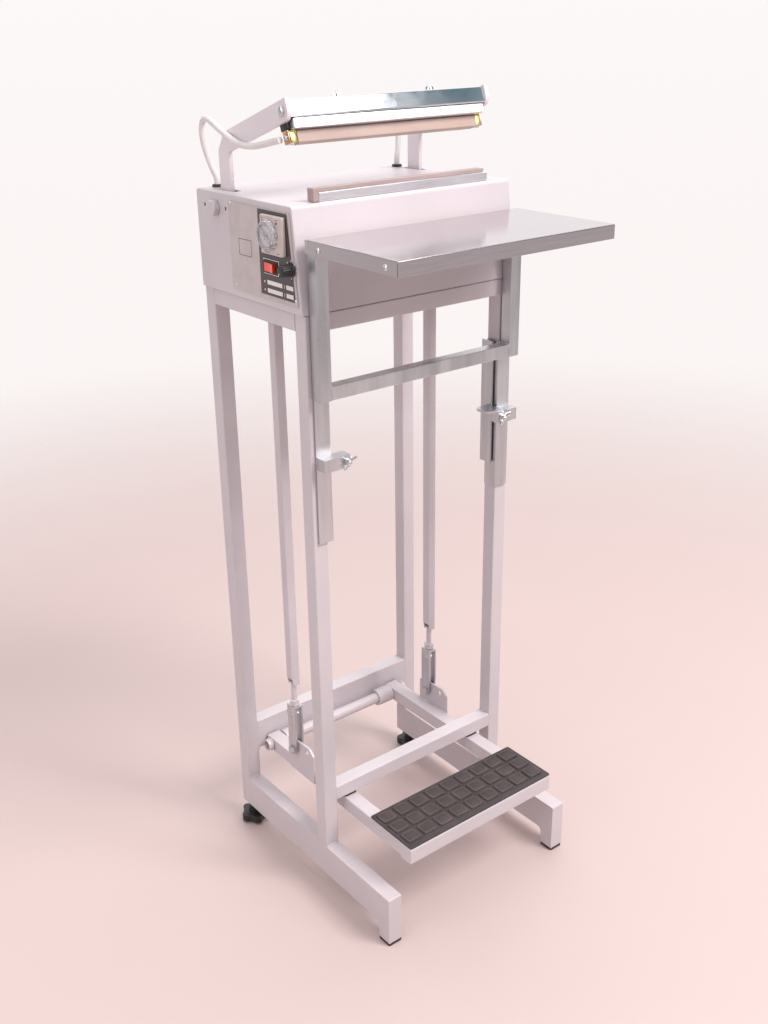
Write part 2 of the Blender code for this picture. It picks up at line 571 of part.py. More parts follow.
def base_plate():
    """The sheet under the hood, with the two upstands that hold the jaw's pivot bolts."""
    inside = HOOD_HALF - WALL - GAP
    bottom = POST_TOP + GAP
    plate = box((-inside, inside), (1.4, HOOD_REAR - WALL - GAP), (bottom, bottom + 2))
    side = filleted([(170, bottom + 1, 0), (248, bottom + 1, 0), (248, 1108, 8), (170, 1108, 8)])
    for sign in (-1, 1):
        upstand = prism("x", sorted((sign * inside, sign * (inside - 3))), side)
        through = sorted((sign * (inside + 2), sign * (inside - 6)))
        bore = rod("x", through, JAW_AXIS, 6.6)
        plate = union(plate, cut(upstand, bore, *side_holes(through, (13.0, 14.0))))
    for x in ROD_X.values():
        slot = box((x - 12, x + 12), (ROD_Y - 14, ROD_Y + 18), (bottom - 2, bottom + 5))
        plate = cut(plate, slot)
    hook = box((SPRING_X - 8, SPRING_X + 8), (SPRING_Y - 8, SPRING_Y + 8),
               (bottom + 1, SPRING_BOTTOM - GAP))
    place("base_plate", union(plate, hook), ZINC)


def pivot_bolts():
    seat = HOOD_HALF + GAP
    outer = seat + BOLT_HEAD
    for side, sign in (("left", -1), ("right", 1)):
        head = prism("x", sorted((sign * seat, sign * outer)), hexagon(JAW_AXIS, BOLT_ACROSS))
        head = bevelled(head, 1.2, 1, lambda e: min(abs(v.co.x) for v in e.verts) > outer - 0.1)
        shank = rod("x", sorted((sign * (seat + 1), sign * 160)), JAW_AXIS, 6.0)
        place(f"pivot_bolt_{side}", union(head, shank), PAINT)


def hood_contents():
    core = box((25, 105), (70, 120), (POST_TOP + GAP + 2 + GAP, 1046))
    windings = box((38, 92), (52, 138), (988, 1034))
    place("transformer", union(core, bevelled(windings, 5, 2)), IRON)
    body = prism("z", (POST_TOP + GAP + 2 + GAP, 1012), rectangle((-30, -2), (150, 162)))
    place("micro_switch", union(body, rod("x", (-20, -12), (154, 1013), 3.0, 12)), BLACK)


def grommets():
    for side, centre in GROMMETS.items():
        ring = union(rod("z", (HOOD_TOP - 5, HOOD_TOP + 1), centre, 6.0, 16),
                     rod("z", (HOOD_TOP + GAP, HOOD_TOP + 3.5), centre, 8.0, 16),
                     rod("z", (HOOD_TOP - 6, HOOD_TOP - WALL - GAP), centre, 8.0, 16))
        place(f"wire_grommet_{side}", ring, RUBBER)
    gland = union(rod("y", (HOOD_REAR - 6, HOOD_REAR + 2), GLAND, 6.6, 16),
                  rod("y", (HOOD_REAR + GAP, REAR_EDGE), GLAND, 9.5, 16),
                  rod("y", (HOOD_REAR - 7, HOOD_REAR - WALL - GAP), GLAND, 9.5, 16))
    place("mains_gland", cut(gland, rod("y", (HOOD_REAR - 20, REAR_EDGE + 5), GLAND, 3.6, 16)), RUBBER)


# ---- jaws ----------------------------------------------------------------------------------------
def lower_jaw():
    y = span_about(SEAL_Y, 14)
    bar = bevelled(box(LOWER_BAR_SPAN, y, (HOOD_TOP + GAP, LOWER_BAR_TOP)), 0.8, 1)
    place("lower_jaw_bar", bar, ALUMINIUM)
    strip = box(STRIP_SPAN, y, (LOWER_BAR_TOP + GAP, STRIP_TOP))
    end = box((STRIP_SPAN[0], LOWER_BAR_SPAN[0] - GAP), y, (HOOD_TOP + 1, LOWER_BAR_TOP + 1))
    place("seal_strip", bevelled(union(strip, end), 0.8, 1), PTFE)


def jaw_arm_outline():
    """The arm at the closed jaw: a level front part, an elbow and a leg down to the shaft."""
    half, angle, front, foot = ARM_WIDTH / 2, radians(OPEN_ANGLE), 7.0, 13.0
    along = Vector((-sin(angle), cos(angle)))
    across = Vector((along.y, -along.x))
    rear_low, front_low = (Vector(JAW_AXIS) + across * side for side in (half, -half))
    rear_corner = rear_low + along * ((ARM_LEVEL + half - rear_low.y) / along.y)
    inner = front_low + along * ((ARM_LEVEL - half - front_low.y) / along.y)
    return filleted([(*(front_low - along * foot), foot), (*inner, 3), (front, ARM_LEVEL - half, 12),
                     (front, ARM_LEVEL + half, 0.5), (rear_corner.x - 18, ARM_LEVEL + half, 4),
                     (*(rear_corner - along * 20), 4), (*(rear_low - along * foot), foot)])


def lever_plate(x, reach, radius):
    """A flat lever on the jaw shaft, drawn at rest and turned into the closed jaw's axes."""
    angle = radians(OPEN_ANGLE)
    tip = (JAW_AXIS[0] + reach * cos(angle), JAW_AXIS[1] + reach * sin(angle))
    plate = prism("x", (x - 1.5, x + 1.5), link_outline(JAW_AXIS, 14.0, tip, radius))
    return plate, tip


def jaw_shaft():
    shaft = rod("x", (JAW_ARMS["left"][0] - 2, JAW_ARMS["right"][1] + 2), JAW_AXIS, 10.0)
    for x in ROD_X.values():
        plate, tip = lever_plate(x, -LEVER, 9.0)
        shaft = union(shaft, cut(plate, rod("x", (x - 3, x + 3), tip, 5.0, 20)))
    plate, tip = lever_plate(SPRING_X, SPRING_Y - JAW_AXIS[0], 7.0)
    shaft = union(shaft, cut(plate, rod("x", (SPRING_X - 3, SPRING_X + 3), tip, 2.5, 12)))
    bore = rod("x", (JAW_ARMS["left"][0] - 4, JAW_ARMS["right"][1] + 4), JAW_AXIS, 6.6)
    place("jaw_shaft", cut(shaft, bore), ZINC, "jaw_axis")


def wing_nut(x, y, bottom):
    """A stud with a wing nut on the channel's top."""
    boss = union(rod("z", (bottom - 3, bottom + 9), (x, y), 2.4, 12),
                 rod("z", (bottom - 0.5, bottom + 5), (x, y), 4.0, 16))
    for sign in (-1, 1):
        wing = prism("y", (y - 1.0, y + 1.0),
                     filleted([(x + sign * 2, bottom + 1, 0), (x + sign * 6, bottom + 2, 0),
                               (x + sign * 8, bottom + 8, 2), (x + sign * 4.5, bottom + 7, 1.5)], 2))
        boss = union(boss, wing)
    return boss


def jaw_arms():
    outline = jaw_arm_outline()
    bolt = (20.0, ARM_LEVEL)
    for side, x in JAW_ARMS.items():
        arm = cut(prism("x", x, outline), rod("x", (x[0] - 2, x[1] + 2), JAW_AXIS, 10.0 + GAP))
        outward = (x[0] - 4, x[0] + 1) if side == "left" else (x[1] - 1, x[1] + 4)
        place(f"jaw_arm_{side}", union(arm, rod("x", outward, bolt, 6.5, 20)), PAINT, "jaw_axis")


def jaw_channel():
    sheet = 2.0
    channel = prism("x", CHANNEL_SPAN, rounded_rectangle(CHANNEL_DEPTH, (BAR_TOP + GAP, CHANNEL_TOP), 2))
    hollow = box((CHANNEL_SPAN[0] + sheet, CHANNEL_SPAN[1] - sheet),
                 (CHANNEL_DEPTH[0] + sheet, CHANNEL_DEPTH[1] - sheet), (BAR_TOP - 5, CHANNEL_TOP - sheet))
    channel = cut(channel, hollow)
    for x in WING_NUT_X:
        channel = union(channel, wing_nut(x, WING_NUT_Y, CHANNEL_TOP))
    place("jaw_channel", channel, CHROME, "jaw_axis")


def upper_jaw():
    body_axis("jaw_axis", (0.0, *JAW_AXIS), turn_x=-radians(OPEN_ANGLE))
    jaw_arms()
    jaw_shaft()
    jaw_channel()
    bar = box(BAR_SPAN, (BAR_FRONT, CHANNEL_DEPTH[1]), (HEATER_TOP + GAP, BAR_TOP))
    bar = bevelled(bar, 1.0, 1)
    place("pressure_bar", bar, ALUMINIUM, "jaw_axis")
    y = span_about(SEAL_Y, 16)
    heater = bevelled(box(HEATER_SPAN, y, (HEATER_BOTTOM, HEATER_TOP)), 2.0, 2,
                      lambda e: abs(e.verts[0].co.x - e.verts[1].co.x) > 1)
    place("heater_bar", heater, PTFE, "jaw_axis")
    for side, x in (("left", (HEATER_SPAN[0] - 13, HEATER_SPAN[0] - GAP)),
                    ("right", (HEATER_SPAN[1] + GAP, HEATER_SPAN[1] + 12))):
        block = bevelled(box(x, (y[0] + 0.5, y[1] - 0.5), (HEATER_BOTTOM + 1, HEATER_TOP)), 1.2, 1)
        place(f"terminal_{side}", block, BRASS, "jaw_axis")


def return_spring():
    """A coil spring from the base plate up to the shaft's rear lever, which pulls the jaw open."""
    coils, per_turn, radius, wire = 9, 12, 6.0, 1.1
    tail = 8.0
    points = [(SPRING_X, SPRING_Y, SPRING_BOTTOM), (SPRING_X, SPRING_Y, SPRING_BOTTOM + 3)]
    height = SPRING_TOP - SPRING_BOTTOM - 2 * tail
    for i in range(coils * per_turn + 1):
        angle = tau * i / per_turn
        points.append((SPRING_X + radius * cos(angle), SPRING_Y + radius * sin(angle),
                       SPRING_BOTTOM + tail + height * i / (coils * per_turn)))
    points += [(SPRING_X, SPRING_Y, SPRING_TOP - 3), (SPRING_X, SPRING_Y, SPRING_TOP)]
    wire_object("return_spring", points, wire, 1, STAINLESS)


def wire_object(name, points, radius, resolution, look):
    """A round wire along the points: one open spline with its ends filled."""
    curve = bpy.data.curves.new(name, "CURVE")
    curve.dimensions = "3D"
    curve.bevel_depth = radius * MM
    curve.bevel_resolution = resolution
    curve.use_fill_caps = True
    spline = curve.splines.new("POLY")
    spline.points.add(len(points) - 1)
    for target, point in zip(spline.points, points):
        target.co = (*metres(point), 1.0)
    made = bpy.data.objects.new(name, curve)
    bpy.context.scene.collection.objects.link(made)
    made.data.materials.append(material(*look))
    return made


# The left lead's route from its grommet up behind the arm, over and forward to the terminal.  The right
# lead is its mirror image about the jaw's own middle.
WIRE_RADIUS = 4.5
WIRE_ROUTE = [(-168, 246, 1119.2), (-168, 246, 1124), (-169.5, 247, 1131), (-174, 250, 1145),
              (-179, 255, 1168), (-182, 256, 1190), (-183, 250, 1206), (-184, 236, 1211),
              (-184.5, 218, 1205), (-184.5, 196, 1196), (-184.5, 172, 1187.5), (-184.5, 146, 1182),
              (-184, 118, 1182.5), (-182, 92, 1187), (-179, 72, 1191.5), (-177, 62, 1193.5)]


def smooth_route(route, spacing):
    """Points at an even spacing along a Catmull-Rom curve through the route's own points."""
    path = [Vector(p) for p in route]
    padded = [2 * path[0] - path[1], *path, 2 * path[-1] - path[-2]]
    fine = [path[0]]
    for a, b, c, d in zip(padded, padded[1:], padded[2:], padded[3:]):
        for i in range(1, 21):
            t = i / 20
            fine.append(0.5 * (2 * b + (c - a) * t + (2 * a - 5 * b + 4 * c - d) * t ** 2
                               + (3 * b - a - 3 * c + d) * t ** 3))
    points, travelled = [fine[0]], 0.0
    for before, after in zip(fine, fine[1:]):
        travelled += (after - before).length
        if travelled >= spacing or len(points) == 1 and travelled > 3:
            points.append(after)
            travelled = 0.0
    if (points[-1] - path[-1]).length < spacing / 2:
        points.pop()
    return points + [path[-1]]


def jaw_wires():
    middle = (JAW_ARMS["left"][0] + JAW_ARMS["right"][1]) / 2
    for side in ("left", "right"):
        route = WIRE_ROUTE if side == "left" else [(2 * middle - x, y, z) for x, y, z in WIRE_ROUTE]
        wire_object(f"jaw_wire_{side}", smooth_route(route, 9.0), WIRE_RADIUS, 2, SLEEVE)


# ---- work table ----------------------------------------------------------------------------------
def work_table():
    body_axis("table_axis", (0.0, TABLE_REAR, TABLE_TOP))
    x, y = (-TABLE_HALF, TABLE_HALF), (TABLE_FRONT, TABLE_REAR)
    tray = bevelled(box(x, y, (TABLE_TOP - TABLE_FLANGE, TABLE_TOP)), 2.0, 2,
                    lambda e: max(v.co.z for v in e.verts) > TABLE_TOP - 1)
    hollow = box((x[0] + WALL, x[1] - WALL), (y[0] + WALL, y[1] + 1),
                 (TABLE_TOP - TABLE_FLANGE - 1, TABLE_TOP - WALL))
    place("table_top", cut(tray, hollow), STAINLESS, "table_axis")
    place("table_frame", table_frame(), ZINC, "table_axis")


def table_frame():
    """Two posts, a crosspiece, two angle legs that run down the stand's posts, and the clamp blocks."""
    top = TABLE_TOP - WALL - GAP
    depth = (TABLE_POST_FRONT, TABLE_POST_FRONT + POST)
    left, right = TABLE_POSTS["left"], TABLE_POSTS["right"]
    frame = prism("x", (left + 2, right + POST - 2),
                  rounded_rectangle(depth, (CROSS_BOTTOM, CROSS_BOTTOM + POST), 1.5, 2))
    for edge in (left, right):
        post = prism("z", (CROSS_BOTTOM, top), rounded_rectangle((edge, edge + POST), depth, 1.5, 2))
        frame = union(frame, post)
    inside = TABLE_HALF - WALL - GAP
    for x in ((-inside, -inside + CARRIER_THICK), (inside - CARRIER_THICK, inside)):
        frame = union(frame, box(x, (TABLE_FRONT + 8, depth[1]), (TABLE_TOP - TABLE_FLANGE + 1, top)))
    rear = -GAP
    for side, edge in TABLE_LEGS.items():
        flank = edge + TUBE - LEG_THICK if side == "left" else edge
        frame = union(frame, box((edge, edge + TUBE), (rear - LEG_THICK, rear), (LEG_BOTTOM, LEG_TOP)),
                      box((flank, flank + LEG_THICK), (rear - LEG_THICK + 1, rear + TUBE - LEG_THICK),
                          (LEG_BOTTOM, LEG_TOP)))
    for side, x in CLAMPS.items():
        block = prism("z", CLAMP_Z, rounded_rectangle(x, depth, 1.5, 2))
        hole = rod("y", (depth[0] - 2, depth[1] + 2), (WING_X[side], sum(CLAMP_Z) / 2), 3.5, 16)
        frame = union(frame, cut(block, hole))
    strap = prism("z", (CLAMP_Z[1] - 1, CLAMP_Z[1] + 3),
                  filleted([(130, -18, 8), (160, -20, 2), (160, 12, 2), (130, 12, 8)]))
    return union(frame, strap, box(*GUIDE_PLATE))


def wing_screws():
    z = sum(CLAMP_Z) / 2
    front = TABLE_POST_FRONT - GAP
    for side, x in WING_X.items():
        body_axis(f"wing_axis_{side}", (x, front, z), "table_axis")
        screw = union(rod("y", (front - 12, TABLE_POST_FRONT + POST - 1), (x, z), 3.0, 16),
                      rod("y", (front - 8, front), (x, z), 5.5, 16))
        turn = radians(35)
        for sign in (-1, 1):
            a = Vector((cos(turn), sin(turn))) * sign
            b = Vector((-a.y, a.x))
            corners = [(3, -1.6), (16, -1.6), (16, 1.6), (3, 1.6)]
            wing = [(x + a.x * u + b.x * v, z + a.y * u + b.y * v) for u, v in corners]
            screw = union(screw, prism("y", (front - 9, front - 2), wing))
        place(f"wing_screw_{side}", screw, ZINC, f"wing_axis_{side}")


def build():
    for existing in list(bpy.data.objects):
        bpy.data.objects.remove(existing)
    for make in (sleds, posts, rails, rear_crossbar, pedal_bumpers, levelling_feet, pedal, pull_rods,
                 casing_hood, control_panel, timer, switches, base_plate, pivot_bolts, hood_contents,
                 grommets, lower_jaw, upper_jaw, return_spring, jaw_wires, work_table, wing_screws):
        make()


build()
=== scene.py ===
"""Looks of a foot-operated impulse heat sealer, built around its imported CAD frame.

Pieces are modelled in millimetres in the stand's own axes: x = 0 is the stand's centre line, y = 0 the
front faces of the front posts (+y runs to the rear) and z = 0 the floor.  Pieces of the upper jaw are
modelled with the jaw shut and then opened with it.  add_piece() moves each one into the frame, in metres.
"""
import json
from math import acos, cos, pi, radians, sin, tan, tau

import bmesh
import bpy
from mathutils import Matrix, Vector

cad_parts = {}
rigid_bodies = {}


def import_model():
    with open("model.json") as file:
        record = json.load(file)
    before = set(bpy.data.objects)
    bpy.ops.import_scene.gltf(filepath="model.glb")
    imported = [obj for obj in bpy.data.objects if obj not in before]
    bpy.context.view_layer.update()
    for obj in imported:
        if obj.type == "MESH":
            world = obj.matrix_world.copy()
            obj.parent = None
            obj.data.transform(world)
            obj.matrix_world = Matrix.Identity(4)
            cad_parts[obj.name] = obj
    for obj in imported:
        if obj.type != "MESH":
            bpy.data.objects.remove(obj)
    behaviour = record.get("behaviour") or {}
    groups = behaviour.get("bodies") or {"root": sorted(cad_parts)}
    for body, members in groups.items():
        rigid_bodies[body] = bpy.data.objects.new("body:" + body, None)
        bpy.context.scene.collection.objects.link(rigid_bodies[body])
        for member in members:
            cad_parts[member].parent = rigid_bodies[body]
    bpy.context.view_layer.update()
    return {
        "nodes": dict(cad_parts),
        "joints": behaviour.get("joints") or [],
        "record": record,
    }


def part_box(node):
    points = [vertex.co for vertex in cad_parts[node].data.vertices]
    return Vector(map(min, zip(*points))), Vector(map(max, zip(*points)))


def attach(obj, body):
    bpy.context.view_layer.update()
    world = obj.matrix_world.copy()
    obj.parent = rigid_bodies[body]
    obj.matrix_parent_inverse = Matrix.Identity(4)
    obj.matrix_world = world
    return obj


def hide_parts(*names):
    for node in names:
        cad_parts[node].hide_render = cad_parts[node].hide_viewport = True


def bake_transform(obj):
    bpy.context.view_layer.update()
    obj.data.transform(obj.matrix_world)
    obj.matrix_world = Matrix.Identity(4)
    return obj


for existing in list(bpy.data.objects):
    bpy.data.objects.remove(existing)
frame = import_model()
NODES = frame["nodes"]
MM = 0.001


def stand_origin():
    left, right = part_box("post_front_left"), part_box("post_front_right")
    return Vector(((left[0].x + right[1].x) / 2, left[0].y, 0.0))


ORIGIN = stand_origin()
TO_FRAME = Matrix.Translation(ORIGIN) @ Matrix.Scale(MM, 4)
TO_STAND = TO_FRAME.inverted()
JAW_HINGE = next(joint for joint in frame["joints"] if joint["name"] == "jaw_hinge")
JAW_AXIS = TO_STAND @ Vector(JAW_HINGE["pos_m"])
OPENED = (Matrix.Translation(JAW_AXIS) @ Matrix.Rotation(-radians(JAW_HINGE["range_deg"][1]), 4, "X")
          @ Matrix.Translation(-JAW_AXIS))


def node_box(name, view=TO_STAND):
    """A CAD node's lowest and highest corners, in millimetres in the stand's axes."""
    corners = [view @ vertex.co for vertex in NODES[name].data.vertices]
    return [Vector([pick(corner[i] for corner in corners) for i in range(3)]) for pick in (min, max)]


def shut_box(name):
    """The same for a node of the upper jaw, with the jaw shut."""
    return node_box(name, OPENED.inverted() @ TO_STAND)


# ---- looks ---------------------------------------------------------------------------------------
class NodeTree:
    """A shader node tree with short ways to add and link its nodes."""
    MIX_INPUTS, MIX_RESULT = (0, 6, 7), 2    # the Mix node's factor, A and B, and its result, for colours

    def __init__(self, tree):
        self.tree = tree

    def put(self, socket, value):
        """Links an input to another node's output, or sets its value."""
        if isinstance(value, bpy.types.NodeSocket):
            self.tree.links.new(value, socket)
        elif socket.type == "RGBA":
            socket.default_value = (*value, 1.0)
        else:
            socket.default_value = value

    def feed(self, node, **inputs):
        for key, value in inputs.items():
            self.put(node.inputs[key.replace("_", " ")], value)

    def add(self, kind, settings=None, **inputs):
        node = self.tree.nodes.new(kind)
        for key, value in (settings or {}).items():
            setattr(node, key, value)
        self.feed(node, **inputs)
        return node

    def math(self, operation, *values):
        node = self.add("ShaderNodeMath", {"operation": operation})
        for socket, value in zip(node.inputs, values):
            self.put(socket, value)
        return node.outputs[0]

    def level(self, factor, low, high, start=0.3, end=0.7, **settings):
        """Takes a factor's span, start to end, to a new span, low to high."""
        return self.add("ShaderNodeMapRange", settings, Value=factor, From_Min=start, From_Max=end,
                        To_Min=low, To_Max=high).outputs["Result"]

    def ramp(self, factor, dark, light, start=0.35, end=0.65):
        node = self.add("ShaderNodeValToRGB", Fac=factor)
        for stop, where, colour in zip(node.color_ramp.elements, (start, end), (dark, light)):
            stop.position = where
            stop.color = (*colour, 1.0)
        return node.outputs["Color"]

    def mix(self, factor, first, second):
        node = self.add("ShaderNodeMix", {"data_type": "RGBA"})
        for index, value in zip(self.MIX_INPUTS, (factor, first, second)):
            self.put(node.inputs[index], value)
        return node.outputs[self.MIX_RESULT]


class Look(NodeTree):
    """A procedural material being made: a Principled shader and the nodes that feed it."""

    def __init__(self, name, **sockets):
        self.material = bpy.data.materials.new(name)
        self.material.use_nodes = True
        super().__init__(self.material.node_tree)
        self.shader = self.tree.nodes["Principled BSDF"]
        self.place = self.add("ShaderNodeTexCoord").outputs["Object"]
        self.feed(self.shader, **sockets)

    def noise(self, scale, detail=2.0, stretch=(1.0, 1.0, 1.0)):
        where = self.add("ShaderNodeMapping", Vector=self.place, Scale=stretch).outputs["Vector"]
        return self.add("ShaderNodeTexNoise", Vector=where, Scale=scale, Detail=detail).outputs["Fac"]

    def ridges(self, pitch, axis):
        """Fine even ridges across an axis, at a pitch in metres."""
        along = self.add("ShaderNodeSeparateXYZ", Vector=self.place).outputs[axis]
        return self.math("SINE", self.math("MULTIPLY", along, tau / pitch))

    def bump(self, height, depth, below=None):
        """A bump of a depth in metres, on top of another one if that is given."""
        node = self.add("ShaderNodeBump", Height=height, Distance=depth, Strength=1.0)
        if below:
            self.put(node.inputs["Normal"], below)
        return node.outputs["Normal"]

    def finish(self, **inputs):
        self.feed(self.shader, **inputs)
        return self.material


def shade(colour, factor):
    return tuple(min(1.0, part * factor) for part in colour)


def painted(name, colour, gloss=0.36):
    """Baked enamel: a fine orange peel, faint clouding and a little dust in the gloss."""
    look = Look(name, Coat_Weight=0.18, Coat_Roughness=0.2)
    cloud, speck = look.noise(7.0), look.noise(520.0)
    clouded = look.ramp(cloud, shade(colour, 0.955), shade(colour, 1.03))
    base = look.mix(look.level(speck, 0.0, 0.22), clouded, shade(colour, 0.86))
    peel = look.bump(look.noise(330.0, 1.0), 0.00006)
    roughness = look.level(look.noise(38.0, 4.0), gloss - 0.05, gloss + 0.07)
    return look.finish(Base_Color=base, Normal=peel, Roughness=roughness)


def plated(name, colour, rough=0.34, stretch=(1.0, 1.0, 0.12)):
    """Zinc plate: cloudy, a little streaked along the bar, with fine drawing lines."""
    look = Look(name, Metallic=1.0)
    cloud = look.noise(46.0, 5.0, stretch)
    grain = look.noise(420.0, 2.0, (1.0, 1.0, 0.06))
    base = look.ramp(cloud, shade(colour, 0.84), shade(colour, 1.08))
    fine = look.bump(grain, 0.00002, look.bump(cloud, 0.00006))
    return look.finish(Base_Color=base, Normal=fine, Roughness=look.level(cloud, rough - 0.08, rough + 0.1))


def brushed(name, colour, rough, along, depth=0.000008):
    """Sheet metal with its grain along one axis."""
    stretch = [0.012 if axis == along else 1.0 for axis in range(3)]
    look = Look(name, Metallic=1.0)
    grain, smear = look.noise(1500.0, 3.0, stretch), look.noise(6.0, 3.0)
    base = look.ramp(grain, shade(colour, 0.93), shade(colour, 1.05))
    roughness = look.level(grain, rough - 0.05, rough + 0.05)
    clouded = look.math("ADD", roughness, look.level(smear, -0.03, 0.05))
    return look.finish(Base_Color=base, Roughness=clouded, Normal=look.bump(grain, depth))


def polished(name, colour, rough=0.07):
    """Bright rolled stainless: faint roll lines along x and a few soft smudges."""
    look = Look(name, Metallic=1.0)
    roll = look.noise(900.0, 2.0, (0.01, 1.0, 1.0))
    smudge = look.noise(24.0, 4.0)
    base = look.ramp(smudge, shade(colour, 0.95), colour)
    wave = look.bump(look.noise(14.0, 1.0, (0.5, 1.0, 1.0)), 0.0004, look.bump(roll, 0.000004))
    roughness = look.level(smudge, rough - 0.03, rough + 0.08)
    return look.finish(Base_Color=base, Normal=wave, Roughness=roughness)


def glass_cloth(name, colour, pitch=0.0009):
    """Plain-woven glass cloth in a slightly glossy coat, browned a little by the heat."""
    look = Look(name, Coat_Weight=0.3, Coat_Roughness=0.35)
    weave = look.math("MULTIPLY", look.ridges(pitch, "X"), look.ridges(pitch, "Y"))
    stain = look.ramp(look.noise(22.0, 4.0, (0.4, 1.0, 1.0)), shade(colour, 0.86), shade(colour, 1.05))
    base = look.mix(look.level(weave, 0.0, 0.16, -1.0, 1.0), stain, shade(colour, 0.7))
    return look.finish(Base_Color=base, Roughness=look.level(look.noise(60.0), 0.42, 0.56),
                       Normal=look.bump(weave, 0.00004))


def rubber(name, colour, rough=0.55):
    look = Look(name, Specular_IOR_Level=0.45)
    dust = look.noise(45.0, 5.0)
    base = look.ramp(dust, colour, shade(colour, 1.7), 0.42, 0.75)
    return look.finish(Base_Color=base, Roughness=look.level(dust, rough - 0.08, rough + 0.15),
                       Normal=look.bump(look.noise(1400.0, 2.0), 0.00004))


def moulded(name, colour, rough=0.35, grain=0.00002, **sockets):
    """Moulded plastic with a fine spark-eroded grain."""
    look = Look(name, **sockets)
    mottle = look.noise(60.0, 3.0)
    base = look.ramp(mottle, shade(colour, 0.94), shade(colour, 1.05))
    return look.finish(Base_Color=base, Roughness=look.level(mottle, rough - 0.05, rough + 0.06),
                       Normal=look.bump(look.noise(1100.0, 2.0), grain))


def braided(name, colour):
    """Braided glass sleeve on a tube whose u runs round it and whose v is its length in metres."""
    look = Look(name, Sheen_Weight=0.25, Sheen_Roughness=0.5)
    mapped = look.add("ShaderNodeUVMap").outputs["UV"]
    apart = look.add("ShaderNodeSeparateXYZ", Vector=mapped).outputs
    around, pitch = 12, 0.0034
    turns = look.math("MULTIPLY", apart["Y"], tau / pitch)
    strands = [look.math("SINE", look.math("MULTIPLY_ADD", apart["X"], sign * tau * around, turns))
               for sign in (1, -1)]
    weave = look.math("MULTIPLY", *strands)
    soiled = look.ramp(look.noise(30.0, 4.0), shade(colour, 0.9), shade(colour, 1.04))
    base = look.mix(look.level(weave, 0.14, 0.0, -1.0, 1.0), soiled, shade(colour, 0.5))
    return look.finish(Base_Color=base, Roughness=look.level(look.noise(200.0), 0.55, 0.75),
                       Normal=look.bump(weave, 0.00012))


def clear_plastic():
    look = Look("clear_plastic", IOR=1.46, Transmission_Weight=0.72)
    haze = look.noise(120.0, 3.0)
    return look.finish(Base_Color=look.ramp(haze, (0.84, 0.82, 0.84), (0.95, 0.94, 0.96)),
                       Roughness=look.level(haze, 0.08, 0.2))


def lamp(name, colour):
    look = Look(name, Coat_Weight=0.6, Coat_Roughness=0.08, Subsurface_Weight=0.2)
    glow = look.noise(900.0)
    return look.finish(Base_Color=look.ramp(glow, shade(colour, 0.85), colour),
                       Roughness=look.level(glow, 0.15, 0.25))


PAINT_COLOUR = (0.60, 0.545, 0.57)
LOOKS = {
    "grey_paint": painted("casing_paint", shade(PAINT_COLOUR, 1.02), 0.42),
    "stand_paint": painted("stand_paint", PAINT_COLOUR, 0.36),
    "zinc": plated("zinc_plate", (0.62, 0.62, 0.64)),
    "stainless": brushed("stainless_sheet", (0.57, 0.53, 0.55), 0.12, 0, 0.000001),
    "channel": polished("polished_channel", (0.84, 0.87, 0.90)),
    "aluminium": brushed("extruded_aluminium", (0.87, 0.86, 0.89), 0.33, 0, 0.000012),
    "brass": plated("brass", (0.83, 0.66, 0.26), 0.28, (1.0, 1.0, 1.0)),
    "ptfe": glass_cloth("glass_cloth", (0.50, 0.36, 0.305)),
    "rubber": rubber("black_rubber", (0.040, 0.029, 0.031)),
    "black_plastic": moulded("black_plastic", (0.018, 0.018, 0.019), 0.3),
    "panel": moulded("panel_enamel", (0.53, 0.46, 0.46), 0.34, 0.00001, Coat_Weight=0.2),
    "fascia": moulded("fascia_film", (0.055, 0.042, 0.044), 0.36, 0.00001, Coat_Weight=0.3),
    "beige_plastic": moulded("beige_plastic", (0.58, 0.50, 0.47), 0.4),
    "dial": clear_plastic(),
    "red_plastic": moulded("red_plastic", (0.85, 0.045, 0.012), 0.22, 0.00001, Coat_Weight=0.5),
    "sleeve": braided("glass_sleeve", (0.80, 0.75, 0.74)),
    "spring_steel": plated("spring_steel", (0.52, 0.52, 0.53), 0.3),
    "iron": plated("lamination_steel", (0.20, 0.18, 0.17), 0.55),
}
# The seal strip's cloth, darker than the bar's: partly its own browner tone and partly painted shade for its
# shadowed end face.
STRIP_CLOTH_AND_SHADE = glass_cloth("strip_cloth_and_painted_shade", (0.44, 0.33, 0.315))
# A lighter copy of the stand paint for the jaw arms: painted light, standing in for the brighter light on
# their faces.
LIT_ARM_PAINT = painted("arm_paint_painted_light", shade(PAINT_COLOUR, 1.28), 0.36)
PRINT_WHITE = moulded("white_print", (0.78, 0.74, 0.72), 0.5, 0.00001)
# Dark print; the table's corner seams use it too, as painted shade.
DARK_PRINT_AND_SHADE = moulded("dark_print_and_painted_shade", (0.10, 0.09, 0.09), 0.5, 0.00001)
DIAL_PAPER = moulded("dial_paper", (0.60, 0.57, 0.62), 0.4, 0.00001)
COPPER = plated("copper_strip", (0.72, 0.44, 0.28), 0.3, (1.0, 1.0, 1.0))
BRIGHT = plated("bright_screw", (0.78, 0.78, 0.80), 0.22, (1.0, 1.0, 1.0))
TREAD_LINE = rubber("tread_line", (0.12, 0.085, 0.062), 0.6)


# ---- outlines and solids, in millimetres ---------------------------------------------------------
def rectangle(u, v):
    return [(u[0], v[0]), (u[1], v[0]), (u[1], v[1]), (u[0], v[1])]


